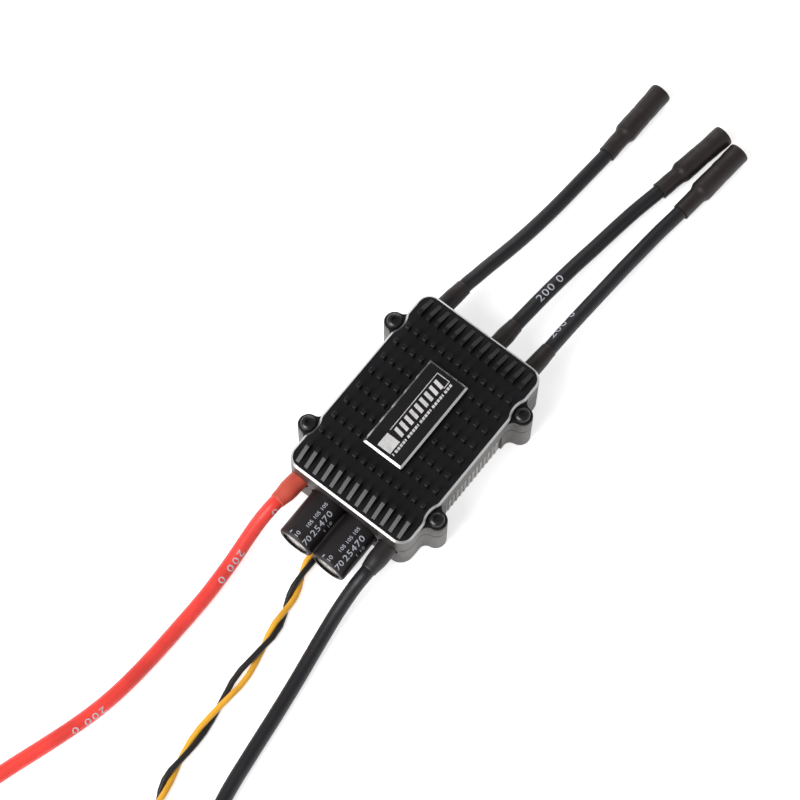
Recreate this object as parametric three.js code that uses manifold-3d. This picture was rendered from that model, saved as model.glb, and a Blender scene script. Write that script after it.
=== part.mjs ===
// Electronic speed controller for a brushless motor: a finned aluminium case on a base tray, two boards,
// two smoothing capacitors, three motor leads with bullet sockets, two power leads and a signal lead.
// Units are millimetres. +X runs along the case to the motor leads, +Y to the red power lead's side, +Z up.
// The origin is the centre of the base tray's underside.

import * as THREE from 'three';
import { mergeVertices } from 'three/addons/utils/BufferGeometryUtils.js';
import Module from 'manifold-3d';

// ---------------------------------------------------------------- driving dimensions

const CASE_LENGTH = 57.8;
const CASE_WIDTH = 37.9;
const HALF_LENGTH = CASE_LENGTH / 2;
const HALF_WIDTH = CASE_WIDTH / 2;
const CORNER_RADIUS = 3.7;
const RIM_HEIGHT = 17.4; // top of the cover's plate, which the fins stand on
const RIM_CHAMFER = 0.75;
const SEAM_HEIGHT = 10.4; // where the cover meets the base tray
const PLATE_THICKNESS = 2.0;
const WALL_THICKNESS = 1.7;
const FLOOR_THICKNESS = 2.0;
const CAVITY_CORNER_RADIUS = 2.0;
const GAP = 0.3; // between pieces that touch in the real object

const EAR_SPACING_X = 35.0;
const EAR_REACH = 1.45; // from the case's side to the ear's centre
const EAR_RADIUS = 2.8;
const EAR_FILLET = 2.0;
const EAR_TOP = 15.5;

const NOTCH_HALF_WIDTH = 3.0; // the cover's scallop beside each screw head
const NOTCH_FLOOR_HALF_WIDTH = 1.3;
const NOTCH_DEPTH = 0.85;

const SCREW_HEAD_RADIUS = 2.05;
const SCREW_HEAD_HEIGHT = 1.3;
const SCREW_SHANK_RADIUS = 0.95;
const SCREW_LENGTH = 12.0;
const SCREW_SOCKET_RADIUS = 0.9;
const SCREW_SOCKET_DEPTH = 0.8;

const FIN_HEIGHT = 2.5;
const FIN_WIDTH = 1.1;
const FIN_ROWS = 13;
const FIN_SIDE_MARGIN = 2.93; // from the case's side to the middle of the outer row
const PIN_LENGTH = 1.4;
const PIN_COLUMNS = 8;
const RAMP_LENGTH = 4.35; // the end fins slope down to the rim over this length
const RAMP_END_MARGIN = 1.35; // from the foot of the slope to the case's end

const LABEL_LENGTH = 27.4;
const LABEL_WIDTH = 12.15;
const LABEL_HEIGHT = 2.8;
const LABEL_CHAMFER = 0.7;

const PANEL_MARGIN = 6.0; // from an ear's centre to the ribbed recess between the ears of the base tray
const PANEL_DEPTH = 0.65;
const RIB_PITCH = 1.6;
const RIB_WIDTH = 0.6;
const RIB_DEPTH = 0.3;
const RIB_MARGIN = 0.6; // from a rib's end to the tray's edge

const CAPACITOR_RADIUS = 5.0; // over its sleeve
const CAPACITOR_LENGTH = 20.0;
const CAPACITOR_SPACING = 0.35; // between the two sleeves
const CAPACITOR_OVERHANG = 13.4; // beyond the case's end
const CAPACITOR_HEIGHT = 7.4; // of its axis
const CAPACITOR_SLEEVE_WALL = 0.25;
const CAPACITOR_WIRE_RADIUS = 0.35;
const CAPACITOR_WIRE_SPACING = 5.0;

const MOTOR_LEAD_RADIUS = 1.95;
const MOTOR_SLEEVE_RADIUS = 2.4;
const POWER_LEAD_RADIUS = 1.95;
const POWER_SLEEVE_RADIUS = 2.6;
const SIGNAL_PAIR_RADIUS = 1.6;
const TUBE_SIDES = 8;
const LEAD_STRAIGHT = 1.2; // a lead's straight start beyond its sleeve
const CHANNEL_LENGTH = 9.4; // the signal lead leaves by this channel in the base tray's floor
const GROMMET_CLEARANCE = 0.35; // between a sleeve and the hole that it leaves by
const SLEEVE_INSET = 0.8; // a sleeve starts this far inside the case's end wall

const SOCKET_LENGTH = 23.3; // heat shrink over a motor lead's bullet socket
const SOCKET_RADIUS = 3.0;
const SOCKET_NECK_RADIUS = 2.4;
const SOCKET_NECK_LENGTH = 7.0;
const SOCKET_SHRINK_WALL = 0.25;
const BULLET_LENGTH = 13.0;
const BULLET_BORE_RADIUS = 1.75;
const BULLET_BORE_DEPTH = 9.0;

const TINNED_LENGTH = 5.0;
const TINNED_RADIUS = 1.45;

const COIL_DISTANCE = 114.6; // from the case's end to the coil's centre
const COIL_SIDE = -7.0;
const COIL_RADIUS = 16.0; // to the middle of its turns
const COIL_ROWS = 2; // turns side by side, and layers

const PLUG_LENGTH = 14.0;
const PLUG_WIDTH = 7.6;
const PLUG_HEIGHT = 2.6;

const BOARD_THICKNESS = 1.6;
const BOARD_CLEARANCE = 0.7; // between the power board and the walls
const BOARD_TO_CAPACITORS = 2.5;
const POWER_BOARD_HEIGHT = 4.7; // of its underside
const BOSS_RADIUS = 1.6;
const BOSS_SIDES = 12;
const CONTROL_BOARD_LENGTH = 26.0;
const CONTROL_BOARD_WIDTH = 22.0;
const CONTROL_BOARD_THICKNESS = 1.2;
const HEADER_LENGTH = 17.8;
const HEADER_WIDTH = 2.5;
const HEADER_HEIGHT = 3.7;
const TRANSISTOR_HEIGHT = 1.0;
const TRANSISTOR_PITCH = 10.0;
const TRANSISTOR_ROW_SPACING = 14.0;

// Routes of the free leads, as points along each centreline: the distance out from the case's end, the
// distance across from where the lead crosses the end wall, and the height. A lead starts straight, in line
// with its sleeve
const MOTOR_LEADS = [
  {
    exitY: HALF_WIDTH - 4.15,
    sleeve: [[-4.9, 0.4, 9.2], [9.1, -0.9, 8.5]],
    route: [[13.6, -1.5, 8.0], [17.6, -2.0, 7.3], [25.1, -3.1, 6.0], [33.6, -4.1, 4.6],
      [43.8, -5.0, 3.6], [53.1, -5.6, 3.2], [58.9, -6.0, 3.1], [63.5, -6.3, 3.1]],
    socket: [[63.8, -6.3, 3.1], [87.1, -6.9, 3.1]],
  },
  {
    exitY: -2.4,
    sleeve: [[-4.9, 0.2, 9.2], [9.1, -0.5, 8.5]],
    route: [[15.9, -0.8, 7.6], [22.1, -1.1, 6.6], [28.1, -1.5, 5.5], [34.1, -2.0, 4.6],
      [40.1, -2.7, 3.9], [48.1, -3.6, 3.3], [55.8, -4.7, 3.1], [63.7, -6.2, 3.1]],
    socket: [[64.0, -6.3, 3.1], [87.4, -10.1, 3.1]],
  },
  {
    exitY: -HALF_WIDTH + 5.55,
    sleeve: [[-4.9, 0.2, 9.2], [9.1, -0.3, 8.5]],
    route: [[15.1, -0.4, 7.8], [21.0, -0.5, 6.9], [27.6, -0.7, 5.9], [34.4, -0.9, 4.8],
      [41.1, -1.2, 4.1], [47.5, -1.6, 3.4], [55.1, -2.2, 3.1], [62.4, -3.1, 3.1]],
    socket: [[62.7, -3.2, 3.1], [86.0, -5.2, 3.1]],
  },
];
const POWER_LEADS = [
  {
    name: 'red',
    exitY: HALF_WIDTH - 4.35,
    color: 0xd8261c,
    sleeveColor: 0xd9503c,
    sleeve: [[-10.4, -1.1, 9.3], [7.6, 0.8, 8.5]],
    route: [[13.9, 1.3, 7.0], [19.9, 1.1, 5.6], [25.9, 0.7, 4.4], [36.8, 0.4, 3.0],
      [47.6, 0.7, 2.3], [58.1, 1.1, 2.1], [68.7, 2.0, 2.1], [76.1, 3.3, 2.1], [82.4, 4.9, 2.1],
      [91.1, 7.6, 2.1], [101.1, 10.9, 2.1], [111.1, 13.8, 2.1], [119.1, 15.8, 2.1]],
  },
  {
    name: 'black',
    exitY: -HALF_WIDTH + 5.15,
    color: 0x232225,
    sleeveColor: 0x2b2a2b,
    sleeve: [[-10.4, -0.1, 9.3], [7.6, 0.1, 8.2]],
    route: [[12.4, 0.3, 7.0], [16.9, 0.2, 5.7], [21.4, -0.1, 4.5], [30.2, -1.2, 3.0],
      [39.1, -2.5, 2.3], [46.4, -3.5, 2.1], [52.5, -4.3, 2.1], [63.1, -5.6, 2.1], [75.1, -7.5, 2.1],
      [85.1, -11.0, 2.1], [95.1, -16.7, 2.1], [104.1, -23.7, 2.1], [111.1, -29.7, 2.1]],
  },
];
const SIGNAL_ROUTE = [[-7.3, 0.0, 2.7], [0.0, 0.0, 2.4], [7.1, 0.2, 2.3], [14.1, 0.4, 2.1],
  [21.1, -1.2, 1.8], [27.9, -2.9, 1.7], [38.6, -4.4, 1.7], [49.6, -5.0, 1.7], [60.5, -5.6, 1.7],
  [71.1, -6.2, 1.7], [79.1, -7.2, 1.7], [86.6, -9.8, 1.7], [94.5, -13.9, 1.7]];
const SIGNAL_TAIL = [[130.6, 7.4, 1.7], [130.6, 9.0, 1.7], [130.6, 10.7, 1.7]];

// ---------------------------------------------------------------- places that follow from the sizes

const EAR_Y = HALF_WIDTH + EAR_REACH;
const EAR_CENTRES = [[1, 1], [1, -1], [-1, 1], [-1, -1]]
  .map(([sx, sy]) => [sx * EAR_SPACING_X / 2, sy * EAR_Y]);
const PLATE_UNDERSIDE = RIM_HEIGHT - PLATE_THICKNESS;
const FIN_ROW_PITCH = 2 * (HALF_WIDTH - FIN_SIDE_MARGIN) / (FIN_ROWS - 1);
const RAMP_CREST = HALF_LENGTH - RAMP_END_MARGIN - RAMP_LENGTH;
const PIN_COLUMN_PITCH = (2 * RAMP_CREST - PIN_LENGTH) / (PIN_COLUMNS + 1);
const PANEL_LENGTH = EAR_SPACING_X - 2 * PANEL_MARGIN;
const CAPACITOR_PITCH = 2 * CAPACITOR_RADIUS + CAPACITOR_SPACING;
const CAPACITOR_OUTER_END = -(HALF_LENGTH + CAPACITOR_OVERHANG);
const POWER_BOARD_START = CAPACITOR_OUTER_END + CAPACITOR_LENGTH + BOARD_TO_CAPACITORS;
const POWER_BOARD_END = HALF_LENGTH - WALL_THICKNESS - BOARD_CLEARANCE;
const POWER_BOARD_HALF_WIDTH = HALF_WIDTH - WALL_THICKNESS - BOARD_CLEARANCE;
const BOARD_CENTRE = (POWER_BOARD_START + POWER_BOARD_END) / 2;
const POWER_BOARD_TOP = POWER_BOARD_HEIGHT + BOARD_THICKNESS;
const CONTROL_BOARD_HEIGHT = POWER_BOARD_TOP + 2 * GAP + HEADER_HEIGHT;
const CONTROL_BOARD_TOP = CONTROL_BOARD_HEIGHT + CONTROL_BOARD_THICKNESS;
const COIL_CENTRE = [-HALF_LENGTH - COIL_DISTANCE, COIL_SIDE];

// Turns a route's points into places in the part's frame; end is 1 for the motor leads' end, and -1 for the
// other
function placed(end, exitY, points) {
  return points.map(([out, across, height]) => [end * (HALF_LENGTH + out), exitY + across, height]);
}

// ---------------------------------------------------------------- solids and booleans

const wasm = await Module();
wasm.setup();

function solidFrom(geometry) {
  const source = geometry.index ? geometry.toNonIndexed() : geometry;
  const bare = new THREE.BufferGeometry();
  bare.setAttribute('position', source.getAttribute('position'));
  const merged = mergeVertices(bare, 1e-4);
  return new wasm.Manifold(new wasm.Mesh({
    numProp: 3,
    vertProperties: new Float32Array(merged.getAttribute('position').array),
    triVerts: new Uint32Array(merged.index.array),
  }));
}

function geometryFrom(solid) {
  const mesh = solid.getMesh();
  const geometry = new THREE.BufferGeometry();
  geometry.setAttribute('position', new THREE.BufferAttribute(new Float32Array(mesh.vertProperties), 3));
  geometry.setIndex(new THREE.BufferAttribute(new Uint32Array(mesh.triVerts), 1));
  geometry.computeVertexNormals();
  return geometry;
}

function block(x0, x1, y0, y1, z0, z1) {
  const geometry = new THREE.BoxGeometry(x1 - x0, y1 - y0, z1 - z0);
  return geometry.translate((x0 + x1) / 2, (y0 + y1) / 2, (z0 + z1) / 2);
}

function prism(shape, z0, z1, curveSegments = 6) {
  const geometry = new THREE.ExtrudeGeometry(shape, { depth: z1 - z0, bevelEnabled: false, curveSegments });
  return geometry.translate(0, 0, z0);
}

// A prism whose top and bottom edges are both cut at 45 degrees
function chamferedPrism(shape, z0, z1, chamfer, curveSegments = 6) {
  const geometry = new THREE.ExtrudeGeometry(shape, {
    depth: z1 - z0 - 2 * chamfer,
    bevelEnabled: true,
    bevelSegments: 1,
    bevelThickness: chamfer,
    bevelSize: chamfer,
    bevelOffset: -chamfer,
    curveSegments,
  });
  return geometry.translate(0, 0, z0 + chamfer);
}

function cylinderZ(radius, x, y, z0, z1, sides = 16) {
  const geometry = new THREE.CylinderGeometry(radius, radius, z1 - z0, sides);
  return geometry.rotateX(Math.PI / 2).translate(x, y, (z0 + z1) / 2);
}

function cylinderX(radius, x0, x1, y, z, sides = 20) {
  const geometry = new THREE.CylinderGeometry(radius, radius, x1 - x0, sides);
  return geometry.rotateZ(Math.PI / 2).translate((x0 + x1) / 2, y, z);
}

// A shape turned about the line from one point towards another; the profile's points are [radius, distance]
function turned(profile, from, to, sides = 16) {
  const points = profile.map(([radius, distance]) => new THREE.Vector2(radius, distance));
  const geometry = new THREE.LatheGeometry(points, sides);
  const direction = new THREE.Vector3(...to).sub(new THREE.Vector3(...from)).normalize();
  geometry.applyQuaternion(new THREE.Quaternion().setFromUnitVectors(new THREE.Vector3(0, 1, 0), direction));
  return geometry.translate(...from);
}

function distanceBetween(from, to) {
  return new THREE.Vector3(...from).distanceTo(new THREE.Vector3(...to));
}

function polygon(radius, sides) {
  const shape = new THREE.Shape();
  for (let i = 0; i < sides; i += 1) {
    const angle = (i / sides) * 2 * Math.PI;
    const place = [radius * Math.cos(angle), radius * Math.sin(angle)];
    if (i === 0) shape.moveTo(...place);
    else shape.lineTo(...place);
  }
  shape.closePath();
  return shape;
}

function tube(points, radius, steps) {
  const places = points.map((point) => new THREE.Vector3(...point));
  const extrudePath = new THREE.CatmullRomCurve3(places, false, 'centripetal');
  return new THREE.ExtrudeGeometry(polygon(radius, TUBE_SIDES), { steps, extrudePath, bevelEnabled: false });
}

// ---------------------------------------------------------------- outlines

function roundedRectangle(halfX, halfY, radius) {
  const shape = new THREE.Shape();
  shape.moveTo(halfX, -halfY + radius);
  shape.lineTo(halfX, halfY - radius);
  shape.absarc(halfX - radius, halfY - radius, radius, 0, Math.PI / 2, false);
  shape.lineTo(-halfX + radius, halfY);
  shape.absarc(-halfX + radius, halfY - radius, radius, Math.PI / 2, Math.PI, false);
  shape.lineTo(-halfX, -halfY + radius);
  shape.absarc(-halfX + radius, -halfY + radius, radius, Math.PI, Math.PI * 1.5, false);
  shape.lineTo(halfX - radius, -halfY);
  shape.absarc(halfX - radius, -halfY + radius, radius, Math.PI * 1.5, Math.PI * 2, false);
  shape.closePath();
  return shape;
}

// One ear seen from above, reaching into the wall; the flanks are fillets between the ear's circle and the
// side
function earShape(x, side) {
  const rise = HALF_WIDTH + EAR_FILLET - EAR_Y;
  const run = Math.sqrt((EAR_RADIUS + EAR_FILLET) ** 2 - rise ** 2);
  const flank = Math.atan2(rise, run);
  const inside = HALF_WIDTH - WALL_THICKNESS / 2;
  const shape = new THREE.Shape();
  shape.moveTo(-run, inside);
  shape.lineTo(run, inside);
  shape.lineTo(run, HALF_WIDTH);
  shape.absarc(run, HALF_WIDTH + EAR_FILLET, EAR_FILLET, -Math.PI / 2, -Math.PI + flank, true);
  shape.absarc(0, EAR_Y, EAR_RADIUS, flank, Math.PI - flank, false);
  shape.absarc(-run, HALF_WIDTH + EAR_FILLET, EAR_FILLET, -flank, -Math.PI / 2, true);
  shape.closePath();
  const placed = shape.extractPoints(5).shape.map((p) => new THREE.Vector2(x + p.x * side, p.y * side));
  return new THREE.Shape(placed);
}

// The cover's plate: a rounded rectangle with a soft scallop beside each screw
function notchedRectangle() {
  const shape = new THREE.Shape();
  const corner = (sx, sy, start) => shape.absarc(
    sx * (HALF_LENGTH - CORNER_RADIUS),
    sy * (HALF_WIDTH - CORNER_RADIUS),
    CORNER_RADIUS,
    start,
    start + Math.PI / 2,
    false,
  );
  const notch = (x, sy, way) => {
    const edge = sy * HALF_WIDTH;
    const floor = sy * (HALF_WIDTH - NOTCH_DEPTH);
    const middle = (NOTCH_HALF_WIDTH + NOTCH_FLOOR_HALF_WIDTH) / 2;
    shape.lineTo(x - way * (NOTCH_HALF_WIDTH + 0.6), edge);
    shape.quadraticCurveTo(x - way * NOTCH_HALF_WIDTH, edge, x - way * middle, (edge + floor) / 2);
    shape.quadraticCurveTo(x - way * NOTCH_FLOOR_HALF_WIDTH, floor, x, floor);
    shape.quadraticCurveTo(x + way * NOTCH_FLOOR_HALF_WIDTH, floor, x + way * middle, (edge + floor) / 2);
    shape.quadraticCurveTo(x + way * NOTCH_HALF_WIDTH, edge, x + way * (NOTCH_HALF_WIDTH + 0.6), edge);
  };
  shape.moveTo(HALF_LENGTH, -HALF_WIDTH + CORNER_RADIUS);
  shape.lineTo(HALF_LENGTH, HALF_WIDTH - CORNER_RADIUS);
  corner(1, 1, 0);
  notch(EAR_SPACING_X / 2, 1, -1);
  notch(-EAR_SPACING_X / 2, 1, -1);
  shape.lineTo(-HALF_LENGTH + CORNER_RADIUS, HALF_WIDTH);
  corner(-1, 1, Math.PI / 2);
  shape.lineTo(-HALF_LENGTH, -HALF_WIDTH + CORNER_RADIUS);
  corner(-1, -1, Math.PI);
  notch(-EAR_SPACING_X / 2, -1, 1);
  notch(EAR_SPACING_X / 2, -1, 1);
  shape.lineTo(HALF_LENGTH - CORNER_RADIUS, -HALF_WIDTH);
  corner(1, -1, Math.PI * 1.5);
  shape.closePath();
  return shape;
}

// ---------------------------------------------------------------- case

function withEars(solid, z0, z1) {
  let result = solid;
  for (const [x, y] of EAR_CENTRES) {
    result = result.add(solidFrom(prism(earShape(x, Math.sign(y)), z0, z1)));
  }
  return result;
}

// Everything that leaves through the end walls, cut from the cover and the base tray alike
function cutEndOpenings(solid) {
  let result = solid;
  const inner = HALF_LENGTH - WALL_THICKNESS - 1;
  const outer = HALF_LENGTH + 1;
  const reach = CAPACITOR_RADIUS + GROMMET_CLEARANCE;
  for (const side of [-1, 1]) {
    const y = side * CAPACITOR_PITCH / 2;
    result = result.subtract(solidFrom(cylinderX(reach, -outer, -inner, y, CAPACITOR_HEIGHT, 28)));
  }
  const [low, high] = [CAPACITOR_HEIGHT - reach, CAPACITOR_HEIGHT + reach];
  const between = CAPACITOR_PITCH / 2;
  result = result.subtract(solidFrom(block(-outer, -inner, -between, between, low, high)));
  for (const { exitY, sleeve } of POWER_LEADS) {
    const radius = POWER_SLEEVE_RADIUS + GROMMET_CLEARANCE;
    result = result.subtract(solidFrom(cylinderX(radius, -outer, -inner, exitY, heightAtWall(sleeve))));
  }
  for (const { exitY, sleeve } of MOTOR_LEADS) {
    const radius = MOTOR_SLEEVE_RADIUS + GROMMET_CLEARANCE;
    result = result.subtract(solidFrom(cylinderX(radius, inner, outer, exitY, heightAtWall(sleeve))));
  }
  return result;
}

// The height at which a sleeve's centreline crosses the end wall's face
function heightAtWall([[fromOut, , fromHeight], [toOut, , toHeight]]) {
  return fromHeight + (toHeight - fromHeight) * -fromOut / (toOut - fromOut);
}

function topCover() {
  const bottom = SEAM_HEIGHT + GAP / 2;
  const outline = roundedRectangle(HALF_LENGTH, HALF_WIDTH, CORNER_RADIUS);
  const [halfLength, halfWidth] = [HALF_LENGTH - WALL_THICKNESS, HALF_WIDTH - WALL_THICKNESS];
  const cavity = roundedRectangle(halfLength, halfWidth, CAVITY_CORNER_RADIUS);
  let solid = withEars(solidFrom(prism(outline, bottom, EAR_TOP - RIM_CHAMFER)), bottom, EAR_TOP);
  const rimBase = EAR_TOP - 2 * RIM_CHAMFER - GAP;
  solid = solid.add(solidFrom(chamferedPrism(notchedRectangle(), rimBase, RIM_HEIGHT, RIM_CHAMFER)));
  solid = solid.subtract(solidFrom(prism(cavity, bottom - 1, PLATE_UNDERSIDE)));
  for (const fin of finGeometries()) solid = solid.add(solidFrom(fin));
  solid = solid.add(solidFrom(labelPlateau()));
  for (const [x, y] of EAR_CENTRES) {
    solid = solid.subtract(solidFrom(cylinderZ(SCREW_SHANK_RADIUS + GAP, x, y, bottom - 1, EAR_TOP + 1)));
  }
  return geometryFrom(cutEndOpenings(solid));
}

function labelPlateau() {
  const shape = new THREE.Shape();
  shape.moveTo(-LABEL_LENGTH / 2, -LABEL_WIDTH / 2);
  shape.lineTo(LABEL_LENGTH / 2, -LABEL_WIDTH / 2);
  shape.lineTo(LABEL_LENGTH / 2, LABEL_WIDTH / 2);
  shape.lineTo(-LABEL_LENGTH / 2, LABEL_WIDTH / 2);
  shape.closePath();
  return chamferedPrism(shape, RIM_HEIGHT - PLATE_THICKNESS / 2, RIM_HEIGHT + LABEL_HEIGHT, LABEL_CHAMFER);
}

function finGeometries() {
  const fins = [];
  const root = RIM_HEIGHT - PLATE_THICKNESS / 4;
  const top = RIM_HEIGHT + FIN_HEIGHT;
  for (let row = 0; row < FIN_ROWS; row += 1) {
    const y = (row - (FIN_ROWS - 1) / 2) * FIN_ROW_PITCH;
    for (let column = 0; column < PIN_COLUMNS; column += 1) {
      const x = (column - (PIN_COLUMNS - 1) / 2) * PIN_COLUMN_PITCH;
      const besideLabel = Math.abs(x) >= (LABEL_LENGTH + PIN_LENGTH) / 2;
      const beyondLabel = Math.abs(y) >= (LABEL_WIDTH + FIN_WIDTH) / 2;
      if (!besideLabel && !beyondLabel) continue;
      const [along, across] = [PIN_LENGTH / 2, FIN_WIDTH / 2];
      fins.push(block(x - along, x + along, y - across, y + across, root, top));
    }
    for (const side of [-1, 1]) fins.push(rampFin(side, y, root, top));
  }
  return fins;
}

// An end fin: a pin's length of flat top, then a slope down to the rim
function rampFin(side, y, root, top) {
  const start = RAMP_CREST - PIN_LENGTH;
  const foot = RAMP_CREST + RAMP_LENGTH;
  const profile = new THREE.Shape();
  profile.moveTo(start, root);
  profile.lineTo(foot, root);
  profile.lineTo(foot, RIM_HEIGHT);
  profile.lineTo(RAMP_CREST, top);
  profile.lineTo(start, top);
  profile.closePath();
  const geometry = new THREE.ExtrudeGeometry(profile, { depth: FIN_WIDTH, bevelEnabled: false });
  geometry.rotateX(Math.PI / 2).translate(0, FIN_WIDTH / 2, 0);
  if (side < 0) geometry.rotateZ(Math.PI);
  return geometry.translate(0, y, 0);
}

function baseTray() {
  const top = SEAM_HEIGHT - GAP / 2;
  const outline = roundedRectangle(HALF_LENGTH, HALF_WIDTH, CORNER_RADIUS);
  const [halfLength, halfWidth] = [HALF_LENGTH - WALL_THICKNESS, HALF_WIDTH - WALL_THICKNESS];
  const cavity = roundedRectangle(halfLength, halfWidth, CAVITY_CORNER_RADIUS);
  let solid = withEars(solidFrom(prism(outline, 0, top)), 0, top);
  solid = solid.subtract(solidFrom(prism(cavity, FLOOR_THICKNESS, top + 1)));
  for (const [x, y] of bossCentres()) {
    const boss = cylinderZ(BOSS_RADIUS, x, y, FLOOR_THICKNESS / 2, POWER_BOARD_HEIGHT - GAP, BOSS_SIDES);
    solid = solid.add(solidFrom(boss));
  }
  for (const side of [-1, 1]) solid = cutSidePanel(solid, side, top);
  for (const [x, y] of EAR_CENTRES) {
    const hole = cylinderZ(SCREW_SHANK_RADIUS + GAP, x, y, EAR_TOP - SCREW_LENGTH, top + 1);
    solid = solid.subtract(solidFrom(hole));
  }
  const channel = SIGNAL_PAIR_RADIUS + 2 * GAP;
  const channelEnd = -HALF_LENGTH + CHANNEL_LENGTH;
  const groove = block(-HALF_LENGTH - 1, channelEnd, -channel, channel, -1, FLOOR_THICKNESS + 1);
  solid = solid.subtract(solidFrom(groove));
  return geometryFrom(cutEndOpenings(solid));
}

function bossCentres() {
  const inset = BOSS_RADIUS + GAP;
  const y = POWER_BOARD_HALF_WIDTH - inset;
  const xs = [POWER_BOARD_START + inset, POWER_BOARD_END - inset];
  return xs.flatMap((x) => [[x, y], [x, -y]]);
}

// A shallow recess between two ears, with upright ribs on its floor
function cutSidePanel(solid, side, top) {
  const outside = side * (HALF_WIDTH + 1);
  const inside = side * (HALF_WIDTH - PANEL_DEPTH);
  const low = Math.min(outside, inside);
  const high = Math.max(outside, inside);
  let result = solid.subtract(solidFrom(block(-PANEL_LENGTH / 2, PANEL_LENGTH / 2, low, high, -1, top + 1)));
  const count = Math.floor((PANEL_LENGTH - RIB_PITCH) / RIB_PITCH);
  const face = inside + side * RIB_DEPTH;
  const root = inside - side * RIB_DEPTH;
  for (let i = 0; i < count; i += 1) {
    const x = (i - (count - 1) / 2) * RIB_PITCH;
    const [near, far] = [Math.min(face, root), Math.max(face, root)];
    const rib = block(x - RIB_WIDTH / 2, x + RIB_WIDTH / 2, near, far, RIB_MARGIN, top - RIB_MARGIN);
    result = result.add(solidFrom(rib));
  }
  return result;
}

function caseScrew(x, y) {
  const seat = EAR_TOP + GAP;
  const profile = [
    [0, seat - SCREW_LENGTH],
    [SCREW_SHANK_RADIUS, seat - SCREW_LENGTH],
    [SCREW_SHANK_RADIUS, seat],
    [SCREW_HEAD_RADIUS, seat],
    [SCREW_HEAD_RADIUS, seat + SCREW_HEAD_HEIGHT * 0.5],
    [SCREW_HEAD_RADIUS * 0.72, seat + SCREW_HEAD_HEIGHT],
    [0, seat + SCREW_HEAD_HEIGHT],
  ];
  const head = solidFrom(turned(profile, [x, y, 0], [x, y, 1], 16));
  const socketFloor = seat + SCREW_HEAD_HEIGHT - SCREW_SOCKET_DEPTH;
  const socket = cylinderZ(SCREW_SOCKET_RADIUS, x, y, socketFloor, seat + SCREW_HEAD_HEIGHT + 1, 6);
  return geometryFrom(head.subtract(solidFrom(socket)));
}

// ---------------------------------------------------------------- boards and their parts

// A flat box standing at a height; x is counted from the middle of the power board
function onBoard(x, y, z, length, width, height) {
  const middle = BOARD_CENTRE + x;
  return block(middle - length / 2, middle + length / 2, y - width / 2, y + width / 2, z, z + height);
}

function powerBoard() {
  const length = POWER_BOARD_END - POWER_BOARD_START;
  return onBoard(0, 0, POWER_BOARD_HEIGHT, length, 2 * POWER_BOARD_HALF_WIDTH, BOARD_THICKNESS);
}

function controlBoard() {
  const [length, width] = [CONTROL_BOARD_LENGTH, CONTROL_BOARD_WIDTH];
  return onBoard(0, 0, CONTROL_BOARD_HEIGHT, length, width, CONTROL_BOARD_THICKNESS);
}

function thermalPad() {
  const length = 2 * TRANSISTOR_PITCH + 10;
  const width = TRANSISTOR_ROW_SPACING + 10;
  const low = FLOOR_THICKNESS + GAP;
  const high = POWER_BOARD_HEIGHT - 2 * GAP - TRANSISTOR_HEIGHT;
  return onBoard(0, 0, low, length, width, high - low);
}

// ---------------------------------------------------------------- capacitors

function capacitorPieces(side) {
  const y = side * CAPACITOR_PITCH / 2;
  const at = (x) => [x, y, CAPACITOR_HEIGHT];
  const end = CAPACITOR_OUTER_END;
  const inward = at(end + 1);
  const sleeveInner = CAPACITOR_RADIUS - CAPACITOR_SLEEVE_WALL;
  const canRadius = sleeveInner - GAP;
  const length = CAPACITOR_LENGTH;
  const sleeve = turned([
    [canRadius - 0.4, 0],
    [CAPACITOR_RADIUS - 0.5, 0],
    [CAPACITOR_RADIUS, 0.5],
    [CAPACITOR_RADIUS, length],
    [sleeveInner, length],
    [sleeveInner, CAPACITOR_SLEEVE_WALL],
    [canRadius - 0.4, CAPACITOR_SLEEVE_WALL],
    [canRadius - 0.4, 0],
  ], at(end), inward, 28);
  const can = turned([
    [0, 0],
    [canRadius - 0.4, 0],
    [canRadius, 0.4],
    [canRadius, length - 3.4],
    [canRadius - 0.5, length - 2.9],
    [canRadius, length - 2.4],
    [canRadius, length - 1.2],
    [0, length - 1.2],
  ], at(end + CAPACITOR_SLEEVE_WALL + GAP), inward, 24);
  const bungStart = end + CAPACITOR_SLEEVE_WALL + length - 1.2 + 2 * GAP;
  const bung = cylinderX(canRadius - 0.6, bungStart, bungStart + 1.2, y, CAPACITOR_HEIGHT, 16);
  const wires = [-1, 1].map((way) => cylinderX(
    CAPACITOR_WIRE_RADIUS,
    bungStart + 1.2 + GAP,
    POWER_BOARD_START + 3.6,
    y + way * CAPACITOR_WIRE_SPACING / 2,
    CAPACITOR_HEIGHT,
    8,
  ));
  return { sleeve, can, bung, wires };
}

// ---------------------------------------------------------------- leads and what is on them

// The bare lead inside the case, then heat shrink from just inside the wall, drawn in to the lead at its free
// end
function exitSleeve([from, to], radius, leadRadius) {
  const length = distanceBetween(from, to);
  const sleeveStart = HALF_LENGTH - WALL_THICKNESS - SLEEVE_INSET;
  const bare = length * (sleeveStart - Math.abs(from[0])) / Math.abs(to[0] - from[0]);
  return turned([
    [0, 0],
    [leadRadius, 0],
    [leadRadius, bare],
    [radius, bare],
    [radius, length * 0.7],
    [leadRadius + 0.15, length],
    [0, length],
  ], from, to, 12);
}

// A lead's whole centreline: straight out of its sleeve, then by the points of its route
function leadRoute([from, to], route) {
  const end = new THREE.Vector3(...to);
  const direction = end.clone().sub(new THREE.Vector3(...from)).normalize();
  const straight = [GAP, GAP + LEAD_STRAIGHT]
    .map((distance) => end.clone().addScaledVector(direction, distance));
  return [...straight.map((point) => point.toArray()), ...route];
}

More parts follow.
